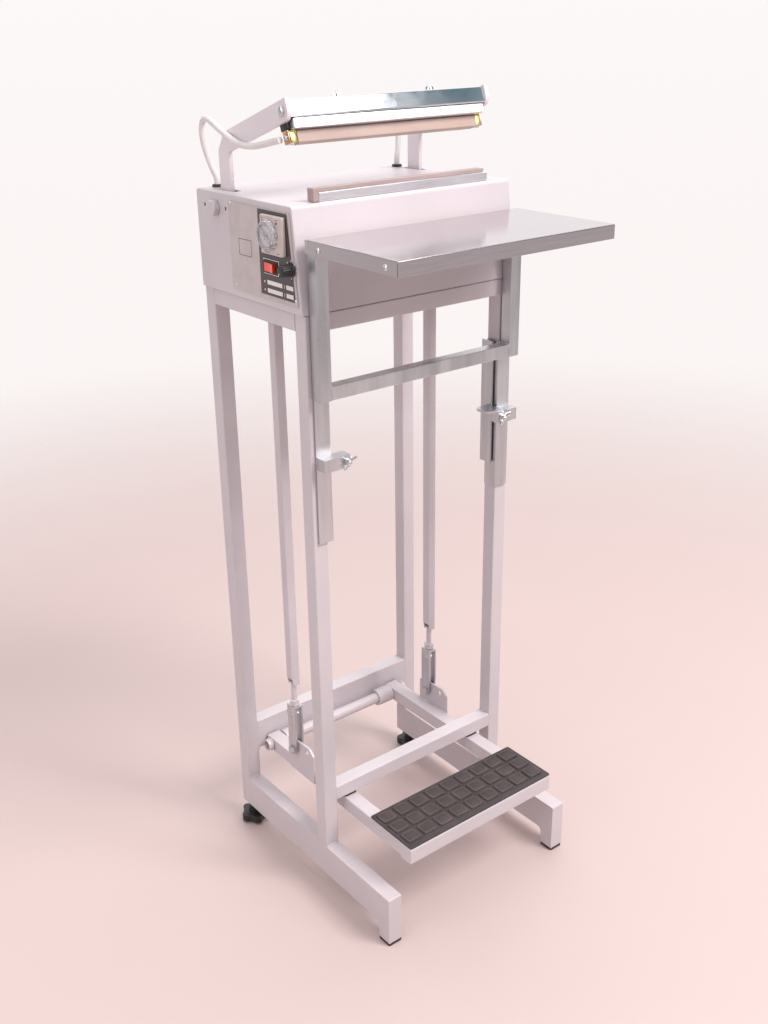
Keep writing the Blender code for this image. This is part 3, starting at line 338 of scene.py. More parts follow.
def filleted(corners, steps=3):
    """Rounds an outline: each corner is (u, v, radius), and a radius of 0 keeps it sharp."""
    outline = []
    for i, (u, v, radius) in enumerate(corners):
        here = Vector((u, v))
        if radius == 0:
            outline.append((u, v))
            continue
        before = (Vector(corners[i - 1][:2]) - here).normalized()
        after = (Vector(corners[(i + 1) % len(corners)][:2]) - here).normalized()
        half = acos(max(-1.0, min(1.0, before.dot(after)))) / 2
        centre = here + (before + after).normalized() * radius / sin(half)
        start = here + before * radius / tan(half) - centre
        end = here + after * radius / tan(half) - centre
        turn = start.angle_signed(end)
        for step in range(steps + 1):
            point = centre + Matrix.Rotation(-turn * step / steps, 2) @ start
            outline.append((point.x, point.y))
    return outline


def rounded_rectangle(u, v, radius, steps=3):
    return filleted([(a, b, radius) for a, b in rectangle(u, v)], steps)


def span_about(centre, size):
    return (centre - size / 2, centre + size / 2)


def on_axis(axis, level, u, v):
    """The point at a level along an axis.  Its u and v are on the other two axes, in x-y-z order."""
    point = [u, v]
    point.insert("xyz".index(axis), level)
    return point


def circle(bm, middle, first, second, radius, sides):
    """A ring of new vertices about a point, in the plane of two unit vectors."""
    angles = [tau * k / sides for k in range(sides)]
    return [bm.verts.new(middle + (first * cos(angle) + second * sin(angle)) * radius) for angle in angles]


def skin(bm, rings, ends=True):
    """Joins rings of vertices into a tube with closed ends, or into a loop."""
    pairs = zip(rings, rings[1:]) if ends else zip(rings, rings[1:] + rings[:1])
    for low, high in pairs:
        for i in range(len(low)):
            j = (i + 1) % len(low)
            bm.faces.new((low[i], low[j], high[j], high[i]))
    if ends:
        bm.faces.new(rings[0])
        bm.faces.new(rings[-1])
    bmesh.ops.recalc_face_normals(bm, faces=bm.faces)
    return bm


def prism(axis, span, outline):
    """Extrudes an outline along an axis."""
    bm = bmesh.new()
    return skin(bm, [[bm.verts.new(on_axis(axis, level, u, v)) for u, v in outline] for level in span])


def box(x, y, z):
    return prism("z", z, rectangle(x, y))


def lathe(profile, steps=32, shape=lambda radius, angle: radius):
    """Turns (radius, height) points about +Z.  A third number is the sides of a ring that is a polygon."""
    bm = bmesh.new()
    rings = []
    for radius, height, *sides in profile:
        if radius == 0:
            rings.append([bm.verts.new((0.0, 0.0, height))])
            continue
        ring = []
        for i in range(steps):
            angle = tau * i / steps
            reach = shape(radius, angle)
            if sides:
                corner = tau / sides[0]
                reach = radius * cos(corner / 2) / cos(angle % corner - corner / 2)
            ring.append(bm.verts.new((reach * cos(angle), reach * sin(angle), height)))
        rings.append(ring)
    for low, high in zip(rings, rings[1:]):
        for i in range(steps):
            j = (i + 1) % steps
            corners = (low[i % len(low)], low[j % len(low)], high[j % len(high)], high[i % len(high)])
            face = list(dict.fromkeys(corners))
            if len(face) > 2:
                bm.faces.new(face)
    for ring in (rings[0], rings[-1]):
        if len(ring) > 2:
            bm.faces.new(ring)
    bmesh.ops.recalc_face_normals(bm, faces=bm.faces)
    return bm


def merged(solids):
    """One mesh that holds several separate solids."""
    whole = bmesh.new()
    for solid in solids:
        mesh = bpy.data.meshes.new("part")
        solid.to_mesh(mesh)
        solid.free()
        whole.from_mesh(mesh)
        bpy.data.meshes.remove(mesh)
    return whole


def moved(bm, matrix):
    bmesh.ops.transform(bm, matrix=matrix, verts=bm.verts)
    return bm


def aim(point, direction, turn=0.0):
    """The placement that takes +Z to a direction, with the origin at a point."""
    rotation = Vector((0, 0, 1)).rotation_difference(Vector(direction)).to_matrix().to_4x4()
    return Matrix.Translation(Vector(point)) @ rotation @ Matrix.Rotation(turn, 4, "Z")


def bevelled(bm, width, segments=2):
    sharp = [e for e in bm.edges if len(e.link_faces) == 2 and e.calc_face_angle(0.0) > radians(30)]
    bmesh.ops.bevel(bm, geom=sharp, offset=width, segments=segments, profile=0.5, affect="EDGES",
                    clamp_overlap=True)
    return bm


def add_piece(name, bm, look, body, replaced=(), jaw=False, smooth=35):
    """Makes the object from a solid in millimetres, and hangs it on its body."""
    if jaw:
        moved(bm, OPENED)
    moved(bm, TO_FRAME)
    mesh = bpy.data.meshes.new(name)
    bm.to_mesh(mesh)
    bm.free()
    made = bpy.data.objects.new(name, mesh)
    bpy.context.scene.collection.objects.link(made)
    mesh.materials.append(look)
    mesh.shade_smooth()
    mesh.set_sharp_from_angle(angle=radians(smooth))
    if body:
        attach(made, body)
    if replaced:
        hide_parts(*replaced)
    return made


# ---- fasteners, standing on the origin and pointing along +Z ------------------------------------------
def hex_head(across, height):
    """A bolt head with a rounded crown."""
    corner = across / 2 / cos(pi / 6)
    crown = [(corner, height * 0.86, 6), (across * 0.44, height), (0, height)]
    return lathe([(0, 0), (corner, 0, 6), *crown], 36)


def button_head(radius, height, socket, sides=6):
    """A domed screw head with a recess."""
    crown = [(radius * cos(radians(a)), 0.3 + (height - 0.3) * sin(radians(a))) for a in range(0, 66, 13)]
    rim = crown[-1][1]
    recess = [(socket, rim + 0.1, sides), (socket, rim - height * 0.55, sides), (0, rim - height * 0.6)]
    return lathe([(0, 0), (radius, 0), *crown, *recess], 36)


def threaded(radius, length, pitch):
    turns = int(length / pitch)
    profile = [(0, 0)]
    for i in range(turns):
        profile += [(radius - pitch * 0.45, i * pitch), (radius, (i + 0.5) * pitch)]
    return lathe([*profile, (radius - pitch * 0.45, turns * pitch), (0, turns * pitch + 0.3)], 20)


def wing(reach, height, thick, sign):
    """One wing of a wing nut: a curved ear that leans out from the boss."""
    ear = filleted([(sign * 2.5, 0.6, 0), (sign * reach * 0.55, 0.8, 2), (sign * reach, height * 0.75, 3),
                    (sign * reach * 0.92, height, 2), (sign * reach * 0.62, height * 0.95, 2),
                    (sign * 3.0, height * 0.62, 1.5)], 4)
    return bevelled(prism("y", (-thick / 2, thick / 2), ear), 0.5, 2)


def wing_nut(reach, height):
    top = height * 0.66
    boss = lathe([(0, 0), (5.2, 0), (5.2, 0.8), (4.2, height * 0.62), (3.4, top), (0, top)])
    return merged([boss, wing(reach, height, 2.6, 1), wing(reach, height, 2.6, -1)])


# ---- welds ---------------------------------------------------------------------------------------
TUBE = 25.0                                  # the stand's square tube
WELD_SIDES = 8
BEARING_LUG_SIDES = (-124.0, -92.0, 84.0, 116.0)     # both sides of the two lugs that hold the pivot tube
BEARING_LUG_LEVELS = (143.0, 168.0)
ROD_LUG_SPAN, ROD_LUG_THICK = (90.0, 155.0), 4.0     # the lugs on the pedal arms that the rods pull


def weld(start, end, radius=1.7, ripple=2.2):
    """A rippled bead of weld along a straight joint, thinner at its two ends."""
    start, end = Vector(start), Vector(end)
    along = (end - start).normalized()
    side = along.orthogonal().normalized()
    other = along.cross(side)
    length = (end - start).length
    count = max(8, int(length / 0.8))
    bm = bmesh.new()
    rings = []
    for i in range(count + 1):
        travelled = length * i / count
        taper = min(1.0, 0.35 + min(travelled, length - travelled) / 3.0)
        thick = radius * taper * (1 + 0.10 * sin(tau * travelled / ripple) + 0.06 * sin(travelled * 1.7))
        rings.append(circle(bm, start + along * travelled, side, other, thick, WELD_SIDES))
    return skin(bm, rings)


def weld_around(axis, at, u, v, radius=1.5):
    """Beads along the four sides of a tube's end, in the plane where an axis equals a value."""
    corners = [on_axis(axis, at, a, b) for a, b in rectangle(u, v)]
    return [weld(a, b, radius) for a, b in zip(corners, corners[1:] + corners[:1])]


def weld_ring(middle, radius, bead=1.4):
    """A bead round a tube that lies along x."""
    bm = bmesh.new()
    steps, ripples = 40, 17
    rings = []
    for i in range(steps):
        angle = tau * i / steps
        outward = Vector((0.0, cos(angle), sin(angle)))
        thick = bead * (1 + 0.1 * sin(angle * ripples))
        rings.append(circle(bm, middle + outward * radius, Vector((1, 0, 0)), outward, thick, WELD_SIDES))
    return skin(bm, rings, ends=False)


def stand_welds():
    """Beads where the posts, crossbars, rails and bearing lugs meet."""
    beads = []
    for side in ("left", "right"):
        for end in ("front", "rear"):
            low, high = node_box(f"post_{end}_{side}")
            for y in (low.y, high.y):
                beads.append(weld((low.x + 2, y, low.z), (high.x - 2, y, low.z), 1.8))
    for name in ("front_crossbar", "rear_crossbar", "top_rail_front", "top_rail_rear"):
        low, high = node_box(name)
        for x in (low.x, high.x):
            beads += weld_around("x", x, (high.y - TUBE + 1.5, high.y - 1.5), (low.z + 0.5, high.z - 0.5))
    front = node_box("rear_crossbar")[1].y - TUBE
    for x in BEARING_LUG_SIDES:
        beads.append(weld(*((x, front, level) for level in BEARING_LUG_LEVELS), 1.3))
    add_piece("stand_welds", merged(beads), LOOKS["stand_paint"], "stand", smooth=60)


def pedal_welds():
    """Beads at the foot plate, the rod lugs and the pivot tube."""
    beads = []
    joint = node_box("foot_plate")[0].y + TUBE + 0.3
    tube_low, tube_high = node_box("pivot_tube")
    pivot = (tube_low + tube_high) / 2
    for side in ("left", "right"):
        low, high = node_box(f"pedal_arm_{side}")
        left = side == "left"
        inner = high.x if left else low.x
        lug = low.x + ROD_LUG_THICK if left else high.x - ROD_LUG_THICK
        beads += [weld((min(inner, lug), joint, low.z + 0.5), (max(inner, lug), joint, low.z + 0.5), 1.4),
                  weld((inner, joint, low.z + 1), (inner, joint, low.z + TUBE - 1), 1.4),
                  weld(*((lug, y, low.z + TUBE) for y in ROD_LUG_SPAN), 1.5),
                  weld_ring(Vector((low.x if left else high.x, pivot.y, pivot.z)), 10.4)]
    add_piece("pedal_welds", merged(beads), LOOKS["stand_paint"], "pedal", smooth=60)


# ---- tread mat -----------------------------------------------------------------------------------
TREAD_COLUMNS, TREAD_ROWS, TREAD_GROOVE = 9, 3, 4.6


def raised_pad(x, y, bottom, top):
    """A raised square of tread with rounded corners and a chamfered top."""
    outer = rounded_rectangle(x, y, 3.0, 3)
    chamfer = 0.7
    inner = rounded_rectangle((x[0] + chamfer, x[1] - chamfer), (y[0] + chamfer, y[1] - chamfer), 2.4, 3)
    bm = bmesh.new()
    return skin(bm, [[bm.verts.new((u, v, z)) for u, v in outline]
                     for outline, z in ((outer, bottom), (outer, top - chamfer), (inner, top))])


def frame_strip(x, y, z, width, radius):
    """A thin raised line that runs round a rounded rectangle."""
    outer = rounded_rectangle(x, y, radius, 3)
    inner = rounded_rectangle((x[0] + width, x[1] - width), (y[0] + width, y[1] - width), radius - width, 3)
    bm = bmesh.new()
    loops = [[bm.verts.new((u, v, level)) for u, v in outline]
             for outline, level in ((outer, z[0]), (outer, z[1]), (inner, z[1]), (inner, z[0]))]
    return skin(bm, loops, ends=False)


def tread_mat():
    """The ribbed mat: a sheet with raised pads, a raised line on each pad and pimples between them."""
    low, high = node_box("tread_mat")
    sheet = high.z - 1.9
    lip_front, lip_rear, lip_side = 9.0, 3.0, 3.5
    outline = rounded_rectangle((low.x, high.x), (low.y, high.y), 3)
    base = bevelled(prism("z", (low.z, sheet), outline), 0.5, 2)
    pitch_x = (high.x - low.x - 2 * lip_side) / TREAD_COLUMNS
    pitch_y = (high.y - low.y - lip_front - lip_rear) / TREAD_ROWS
    pads, lines, pimples = [base], [], []
    for column in range(TREAD_COLUMNS):
        for row in range(TREAD_ROWS):
            x = span_about(low.x + lip_side + pitch_x * (column + 0.5), pitch_x - TREAD_GROOVE)
            y = span_about(low.y + lip_front + pitch_y * (row + 0.5), pitch_y - TREAD_GROOVE)
            pads.append(raised_pad(x, y, sheet - 0.3, high.z - 0.25))
            inset = 2.6
            lines.append(frame_strip((x[0] + inset, x[1] - inset), (y[0] + inset, y[1] - inset),
                                     (high.z - 0.6, high.z), 0.8, 2.6))
            corner = (x[1] + TREAD_GROOVE / 2, y[0] - TREAD_GROOVE / 2, sheet - 0.2)
            if column < TREAD_COLUMNS - 1:
                pimples.append(moved(lathe([(0, 0), (1.2, 0), (1.1, 0.6), (0.7, 1.1), (0, 1.3)], 12),
                                     Matrix.Translation(corner)))
    add_piece("tread_mat_sheet", merged(pads), LOOKS["rubber"], "pedal", ["tread_mat"], smooth=50)
    add_piece("tread_mat_lines", merged(lines), TREAD_LINE, "pedal")
    add_piece("tread_mat_pimples", merged(pimples), LOOKS["rubber"], "pedal", smooth=60)


# ---- jaw wires -----------------------------------------------------------------------------------
WIRE_DIAMETER = 9.0
WIRE_ROUTE = [(-168, 246, 1119.2), (-168, 246, 1124), (-169.5, 247, 1131), (-174, 250, 1145),
              (-179, 255, 1168), (-182, 256, 1190), (-183, 250, 1206), (-184, 236, 1211),
              (-184.5, 218, 1205), (-184.5, 196, 1196), (-184.5, 172, 1187.5), (-184.5, 146, 1182),
              (-184, 118, 1182.5), (-182, 92, 1187), (-179, 72, 1191.5), (-177, 62, 1193.5)]


def smooth_route(route, steps=12):
    """Points along a Catmull-Rom curve through the route's own points."""
    path = [Vector(p) for p in route]
    padded = [2 * path[0] - path[1], *path, 2 * path[-1] - path[-2]]
    points = [path[0]]
    for a, b, c, d in zip(padded, padded[1:], padded[2:], padded[3:]):
        for i in range(1, steps + 1):
            t = i / steps
            points.append(0.5 * (2 * b + (c - a) * t + (2 * a - 5 * b + 4 * c - d) * t ** 2
                                 + (3 * b - a - 3 * c + d) * t ** 3))
    return points


def tube_along(points, radius, sides=16):
    """A tube along a path.  Its u runs once round it and its v is the length in metres."""
    bm = bmesh.new()
    layer = bm.loops.layers.uv.new("UVMap")
    normal = (points[1] - points[0]).orthogonal().normalized()
    rings, travelled = [], [0.0]
    for i, point in enumerate(points):
        ahead = points[min(i + 1, len(points) - 1)] - points[max(i - 1, 0)]
        tangent = ahead.normalized()
        normal = (normal - tangent * normal.dot(tangent)).normalized()
        side = tangent.cross(normal)
        rings.append(circle(bm, point, normal, side, radius, sides))
        if i:
            travelled.append(travelled[-1] + (point - points[i - 1]).length)
    for i in range(len(points) - 1):
        for k in range(sides):
            face = bm.faces.new((rings[i][k], rings[i][(k + 1) % sides],
                                 rings[i + 1][(k + 1) % sides], rings[i + 1][k]))
            for loop, (u, v) in zip(face.loops, ((k, i), (k + 1, i), (k + 1, i + 1), (k, i + 1))):
                loop[layer].uv = (u / sides, travelled[v] * MM)
    bm.faces.new(rings[0])
    bm.faces.new(rings[-1])
    bmesh.ops.recalc_face_normals(bm, faces=bm.faces)
    return bm


def jaw_wires():
    """The two sleeved wires to the upper jaw.  The right one mirrors the left one."""
    arms = shut_box("jaw_arm_left")[0].x + shut_box("jaw_arm_right")[1].x
    for side in ("left", "right"):
        route = WIRE_ROUTE if side == "left" else [(arms - x, y, z) for x, y, z in WIRE_ROUTE]
        path = smooth_route(route)
        wire = add_piece(f"jaw_wire_sleeve_{side}", tube_along(path, WIRE_DIAMETER / 2), LOOKS["sleeve"],
                         None, [f"jaw_wire_{side}"])
        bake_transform(wire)


def return_spring():
    """The coil spring between the base plate and the jaw shaft's rear lever."""
    low, high = node_box("return_spring")
    middle = (low + high) / 2
    coils, steps, wire, hook, straight = 9, 16, 1.1, 8.0, 3.0
    radius = (high.x - low.x) / 2 - wire
    points = [Vector((middle.x, middle.y, z)) for z in (low.z, low.z + straight)]
    for i in range(coils * steps + 1):
        angle = tau * i / steps
        height = low.z + hook + (high.z - low.z - 2 * hook) * i / (coils * steps)
        points.append(Vector((middle.x + radius * cos(angle), middle.y + radius * sin(angle), height)))
    points += [Vector((middle.x, middle.y, z)) for z in (high.z - straight, high.z)]
    spring = add_piece("return_spring_coil", tube_along(points, wire, 8), LOOKS["spring_steel"], None,
                       ["return_spring"], smooth=60)
    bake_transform(spring)


# ---- upper jaw -----------------------------------------------------------------------------------
def terminals():
    """The brass end blocks of the heating bar, with their copper strips, insulators and screws."""
    bar, channel = shut_box("pressure_bar"), shut_box("jaw_channel")
    copper = 1.6
    for side, sign in (("left", -1), ("right", 1)):
        low, high = shut_box(f"terminal_{side}")
        bar_end = bar[0].x if sign < 0 else bar[1].x
        inner, outer = (high.x, low.x) if sign < 0 else (low.x, high.x)
        block = bevelled(box(sorted((inner, outer - sign * 1.9)), (low.y, high.y), (low.z, high.z)), 0.7, 2)
        name = f"terminal_block_{side}"
        add_piece(name, block, LOOKS["brass"], "jaw", [f"terminal_{side}"], jaw=True)
        strip = box(sorted((outer - sign * copper, outer)), (low.y + 1, high.y - 1),
                    (low.z + 0.4, high.z + copper))
        add_piece(f"terminal_strip_{side}", bevelled(strip, 0.4, 2), COPPER, "jaw", jaw=True)
        insulator = box(sorted((bar_end + sign * 0.2, outer + sign * 0.4)), (low.y - 1, high.y + 1),
                        (high.z + 1.8, channel[0].z - 0.3))
        add_piece(f"terminal_insulator_{side}", bevelled(insulator, 0.7, 2), LOOKS["black_plastic"], "jaw",
                  jaw=True)
        middle = (low + high) / 2
        screws = [moved(button_head(3.6, 2.6, 1.3, 4), aim((outer, middle.y, low.z + 8.5), (sign, 0, 0))),
                  moved(button_head(3.2, 2.0, 1.2, 4), aim((middle.x, middle.y - 2, low.z), (0, 0, -1)))]
        add_piece(f"terminal_screws_{side}", merged(screws), BRIGHT, "jaw", jaw=True)


ARM_BOLT_Y, ARM_BOLT_DROP = 20.0, 14.0


def arm_bolts():
    """The bolts that hold the channel between the two arms."""
    for side, sign in (("left", -1), ("right", 1)):
        arm = shut_box(f"jaw_arm_{side}")
        face = arm[0].x + 4 if sign < 0 else arm[1].x - 4
        place = aim((face, ARM_BOLT_Y, arm[1].z - ARM_BOLT_DROP), (sign, 0, 0), radians(12))
        bolt = moved(hex_head(13.2, 5.0), place)
        add_piece(f"arm_bolt_{side}", bolt, BRIGHT, "jaw", jaw=True)


# ---- controls ------------------------------------------------------------------------------------
# Spans and places on the panel's left face, as (y, z).  A row of prints has (y span, half height) pairs.
SWITCH_OUTLINE = (85.4, 47.2), (1019.4, 1040.2)
LABEL_OUTLINE = (148.5, 116.0), (1035.5, 1058.5)
PRINT_ROWS = (1008.0, 996.7)
ROW_PRINTS = ((78, 41.5), 2.9), ((32, 15.3), 2.9), ((36.8, 36), 2.4), ((86, 83.5), 1.2)
PLATE_SCREWS = (165.6, 1104.3), (161.7, 990.3), (10.8, 992.6)
TIMER_LAMPS = ("timer_lamp_orange", 75.0, (0.75, 0.25, 0.04)), ("timer_lamp_red", 40.2, (0.35, 0.01, 0.02))
TIMER_LAMP_LEVEL = 1091.8
TIMER_MARKS = (75.0, 1095.6), (40.2, 1095.6), (68.0, 1051.0), (62.0, 1051.0), (38.5, 1051.5)
DIAL_TICKS, DIAL_SWEEP = 24, 280.0
KNOB_FLUTES = 10


def on_panel(y, z, face, thick=0.25):
    """A thin plate that stands on the panel's left face."""
    return prism("x", (face - thick, face), rectangle(sorted(y), sorted(z)))


def outlined(y, z, face, line=1.1, thick=0.25):
    """The four sides of a printed rectangle."""
    y, z = sorted(y), sorted(z)
    return [on_panel(y, (z[0], z[0] + line), face, thick), on_panel(y, (z[1] - line, z[1]), face, thick),
            on_panel((y[0], y[0] + line), (z[0] + line, z[1] - line), face, thick),
            on_panel((y[1] - line, y[1]), (z[0] + line, z[1] - line), face, thick)]


def panel_prints():
    """The fascia's outlines and its four blank write-on boxes, and a blank label on the plate."""
    fascia, plate = (node_box(name)[0].x for name in ("control_fascia", "control_plate"))
    prints = outlined(*SWITCH_OUTLINE, fascia)
    for z in PRINT_ROWS:
        prints += [on_panel(y, (z - half, z + half), fascia) for y, half in ROW_PRINTS]
    add_piece("fascia_prints", merged(prints), PRINT_WHITE, "stand")
    label = outlined(*LABEL_OUTLINE, plate, 0.8, 0.15)
    add_piece("plate_label_frame", merged(label), DARK_PRINT_AND_SHADE, "stand")
    screws = [moved(button_head(2.6, 1.7, 1.0, 4), aim((plate, y, z), (-1, 0, 0), radians(30)))
              for y, z in PLATE_SCREWS]
    add_piece("plate_screws", merged(screws), BRIGHT, "stand")


def timer_dial():
    """A clear cap over a pale scale, with a grip bar across it."""
    low, high = node_box("timer_dial")
    centre = ((low.y + high.y) / 2, (low.z + high.z) / 2)
    radius, depth = (high.y - low.y) / 2, high.x - low.x
    where = aim((high.x, *centre), (-1, 0, 0))
    floor = depth - 4.2
    cup = lathe([(0, 0), (radius, 0), (radius, 1.3), (radius - 0.8, 2.0), (radius - 1.3, depth - 1.6),
                 (radius - 2.0, depth - 0.4), (radius - 2.6, depth), (radius - 4.2, depth),
                 (radius - 4.9, depth - 0.5), (radius - 5.3, floor + 0.4), (0, floor + 0.4)], 64)
    add_piece("dial_cap", moved(cup, where), LOOKS["dial"], "dial", ["timer_dial"], smooth=40)
    face = radius - 5.4
    scale = lathe([(0, floor + 0.6), (face, floor + 0.6), (face, floor + 1.1), (0, floor + 1.1)], 64)
    hub = lathe([(0, floor + 1), (5.0, floor + 1), (4.8, depth - 1.2), (4.2, depth - 0.6),
                 (0, depth - 0.4)], 32)
    grip = bevelled(box((-face + 1.2, face - 1.2), (-2.4, 2.4), (floor + 1.0, depth - 0.8)), 0.9, 3)
    turned = where @ Matrix.Rotation(radians(52), 4, "Z")
    add_piece("dial_scale", moved(scale, turned), DIAL_PAPER, "dial")
    add_piece("dial_grip", moved(merged([hub, grip]), turned), LOOKS["dial"], "dial")
    ticks = []
    for i in range(DIAL_TICKS):
        angle = radians(DIAL_SWEEP * (i / (DIAL_TICKS - 1) - 0.5))
        inner = face - (3.4 if i % 3 == 0 else 2.0)
        tick = box((inner, face - 0.5), (-0.22, 0.22), (floor + 1.1, floor + 1.3))
        ticks.append(moved(tick, Matrix.Rotation(angle, 4, "Z")))
    add_piece("dial_ticks", moved(merged(ticks), where), DARK_PRINT_AND_SHADE, "dial")


def timer_face():
    """Lamps and marks on the timer's bezel."""
    face = node_box("timer_body")[0].x
    for name, y, colour in TIMER_LAMPS:
        dome = lathe([(0, 0), (1.7, 0), (1.6, 0.7), (1.0, 1.4), (0, 1.7)], 20)
        moved(dome, aim((face, y, TIMER_LAMP_LEVEL), (-1, 0, 0)))
        add_piece(name, dome, lamp(name, colour), "stand", smooth=60)
    marks = [on_panel((y + 2, y - 2), (z, z + 0.9), face) for y, z in TIMER_MARKS]
    add_piece("timer_marks", merged(marks), DARK_PRINT_AND_SHADE, "stand")


def selector_knob():
    """A fluted knob with a skirt and a white pointer."""
    low, high = node_box("selector_knob")
    centre = ((low.y + high.y) / 2, (low.z + high.z) / 2)
    face = node_box("control_fascia")[0].x
    where = aim((face, *centre), (-1, 0, 0))
    radius, depth = (high.y - low.y) / 2, face - low.x

    def fluted(reach, angle):
        return reach * (1 - 0.06 * (0.5 + 0.5 * cos(KNOB_FLUTES * angle)) ** 2)
    skirt = lathe([(0, 0.3), (radius, 0.3), (radius, 1.6), (radius - 1.4, 2.8), (0, 2.8)], 60)
    grip = lathe([(0, 2.6), (radius - 1.6, 2.6), (radius - 2.0, depth - 1.4), (radius - 3.0, depth - 0.3),
                  (radius - 5.0, depth), (0, depth)], 120, fluted)
    pointer = bevelled(box((2.0, radius - 1.6), (-1.4, 1.4), (depth - 2.6, depth)), 0.5, 2)
    turned = where @ Matrix.Rotation(radians(150), 4, "Z")
    stem = lathe([(0, -8), (2.9, -8), (2.9, 0.6), (0, 0.6)], 16)
    knob = moved(merged([skirt, grip, pointer, stem]), turned)
    add_piece("knob_grip", knob, LOOKS["black_plastic"], "knob", ["selector_knob"],
              smooth=38)
    line = box((3.0, radius - 1.9), (-0.5, 0.5), (depth - 0.1, depth + 0.15))
    add_piece("knob_pointer_line", moved(line, turned), PRINT_WHITE, "knob")
    marks = []
    for angle in range(-135, 136, 45):
        mark = box((radius + 0.8, radius + 3.0), (-0.8, 0.8), (0, 0.25))
        marks.append(moved(mark, where @ Matrix.Rotation(radians(angle - 90), 4, "Z")))
    add_piece("knob_marks", merged(marks), PRINT_WHITE, "stand")


# ---- table ---------------------------------------------------------------------------------------
TABLE_SCREWS_Y, TABLE_SCREW_DROP = (-35.0, -174.8), 11.0
FRAME_FRONT, FRAME_REAR = -22.0, -2.0
CROSSPIECE_ENDS, CROSSPIECE_LEVELS = (-166.0, 168.9), (856.0, 875.0)
CLAMP_SPANS, CLAMP_LEVELS = ((-182, -162), (166, 186)), (751.0, 771.0)
CLAMP_OUTER_SIDES = (-182.085, 188.055)


def table_details():
    """Screws in the tray's sides, and dark strips of painted shade in the open seams of its front corners.
    """
    low, high = node_box("table_top")
    screws, seams = [], []
    for x, sign in ((low.x, -1), (high.x, 1)):
        for y in TABLE_SCREWS_Y:
            place = aim((x, y, high.z - TABLE_SCREW_DROP), (sign, 0, 0), radians(15))
            screws.append(moved(button_head(4.2, 2.4, 1.7), place))
        # A dark strip in each open corner seam: painted shade where the gap shows dark.
        seams.append(box(sorted((x - sign * 0.6, x + sign * 0.05)), (low.y + 1.5, low.y + 2.2),
                         (low.z + 0.2, high.z - 2.6)))
    add_piece("table_screws", merged(screws), BRIGHT, "table")
    add_piece("table_corner_seam_shade", merged(seams), DARK_PRINT_AND_SHADE, "table")


def table_welds():
    """Beads where the crosspiece meets the table's posts and round the clamp blocks."""
    beads = []
    bottom, top = CROSSPIECE_LEVELS
    for x in CROSSPIECE_ENDS:
        beads += [weld((x, FRAME_FRONT, bottom), (x, FRAME_FRONT, top - 1), 1.2),
                  weld((x, FRAME_FRONT + 1, top), (x, FRAME_REAR, top), 1.4)]
    bottom, top = CLAMP_LEVELS
    for x in CLAMP_OUTER_SIDES:
        beads.append(weld((x, FRAME_REAR, top), (x, FRAME_REAR, bottom + 1), 1.6))
    for start, end in CLAMP_SPANS:
        for level, radius in ((top - 0.5, 2.0), (bottom, 1.6)):
            beads.append(weld((start, FRAME_REAR + 0.5, level), (end, FRAME_REAR + 0.5, level), radius))
    add_piece("table_welds", merged(beads), LOOKS["zinc"], "table", smooth=60)


def clamp_screws():
    """The wing nut and the thread of each clamp."""
    face, tip_reach = FRAME_FRONT - 0.3, 7.0
    radius, pitch = 2.9, 1.1
    for side in ("left", "right"):
        low, high = node_box(f"wing_screw_{side}")
        x, z = (low.x + high.x) / 2, (low.z + high.z) / 2
        nut = moved(wing_nut(14.0, 11.0), aim((x, face, z), (0, -1, 0), radians(35)))
        shank = moved(threaded(radius, high.y - face - 0.4, pitch), aim((x, face, z), (0, 1, 0)))
        tip = moved(threaded(radius, 4.0, pitch), aim((x, face - tip_reach, z), (0, -1, 0)))
        add_piece(f"wing_screw_detail_{side}", merged([nut, shank, tip]), BRIGHT, f"wing_{side}",
                  [f"wing_screw_{side}"])


# ---- the carried-over nodes ------------------------------------------------------------------------
EDGE_WIDTH, MERGE_DISTANCE = 0.5, 0.00001
EDGE_WIDTHS = {"control_fascia": 0.1, "control_plate": 0.25, "seal_strip": 0.3, "table_top": 0.3,
               "clevis_left": 0.3, "clevis_right": 0.3, "wire_grommet_left": 0.6, "wire_grommet_right": 0.6,
               "levelling_foot_left": 1.2, "levelling_foot_right": 1.2, "pivot_bolt_left": 0.7,
               "pivot_bolt_right": 0.7}
PLAIN_NODES = ("transformer",)
OWN_LOOKS = {"seal_strip": STRIP_CLOTH_AND_SHADE, "jaw_arm_left": LIT_ARM_PAINT, "jaw_arm_right": LIT_ARM_PAINT}


def dress_nodes():
    """Gives each carried-over node its look, clean shading and softly broken edges."""
    slots = {part["node"]: part["material_slot"] for part in frame["record"]["subparts"]}
    for name, node in NODES.items():
        node.data.materials.clear()
        node.data.materials.append(OWN_LOOKS.get(name, LOOKS[slots[name]]))
        if node.hide_render:
            continue
        if "custom_normal" in node.data.attributes:
            node.data.attributes.remove(node.data.attributes["custom_normal"])
        node.data.shade_smooth()
        weld_points = node.modifiers.new("weld", "WELD")
        weld_points.merge_threshold = MERGE_DISTANCE
        if name in PLAIN_NODES:
            continue
        flat = node.modifiers.new("flat_faces", "DECIMATE")
        flat.decimate_type = "DISSOLVE"
        flat.angle_limit = radians(0.8)
        edge = node.modifiers.new("edges", "BEVEL")
        edge.width = EDGE_WIDTHS.get(name, EDGE_WIDTH) * MM
        edge.segments = 2
        edge.limit_method = "ANGLE"
        edge.angle_limit = radians(32)
        edge.use_clamp_overlap = True
        even = node.modifiers.new("even_normals", "WEIGHTED_NORMAL")
        even.weight = 90
        even.keep_sharp = True


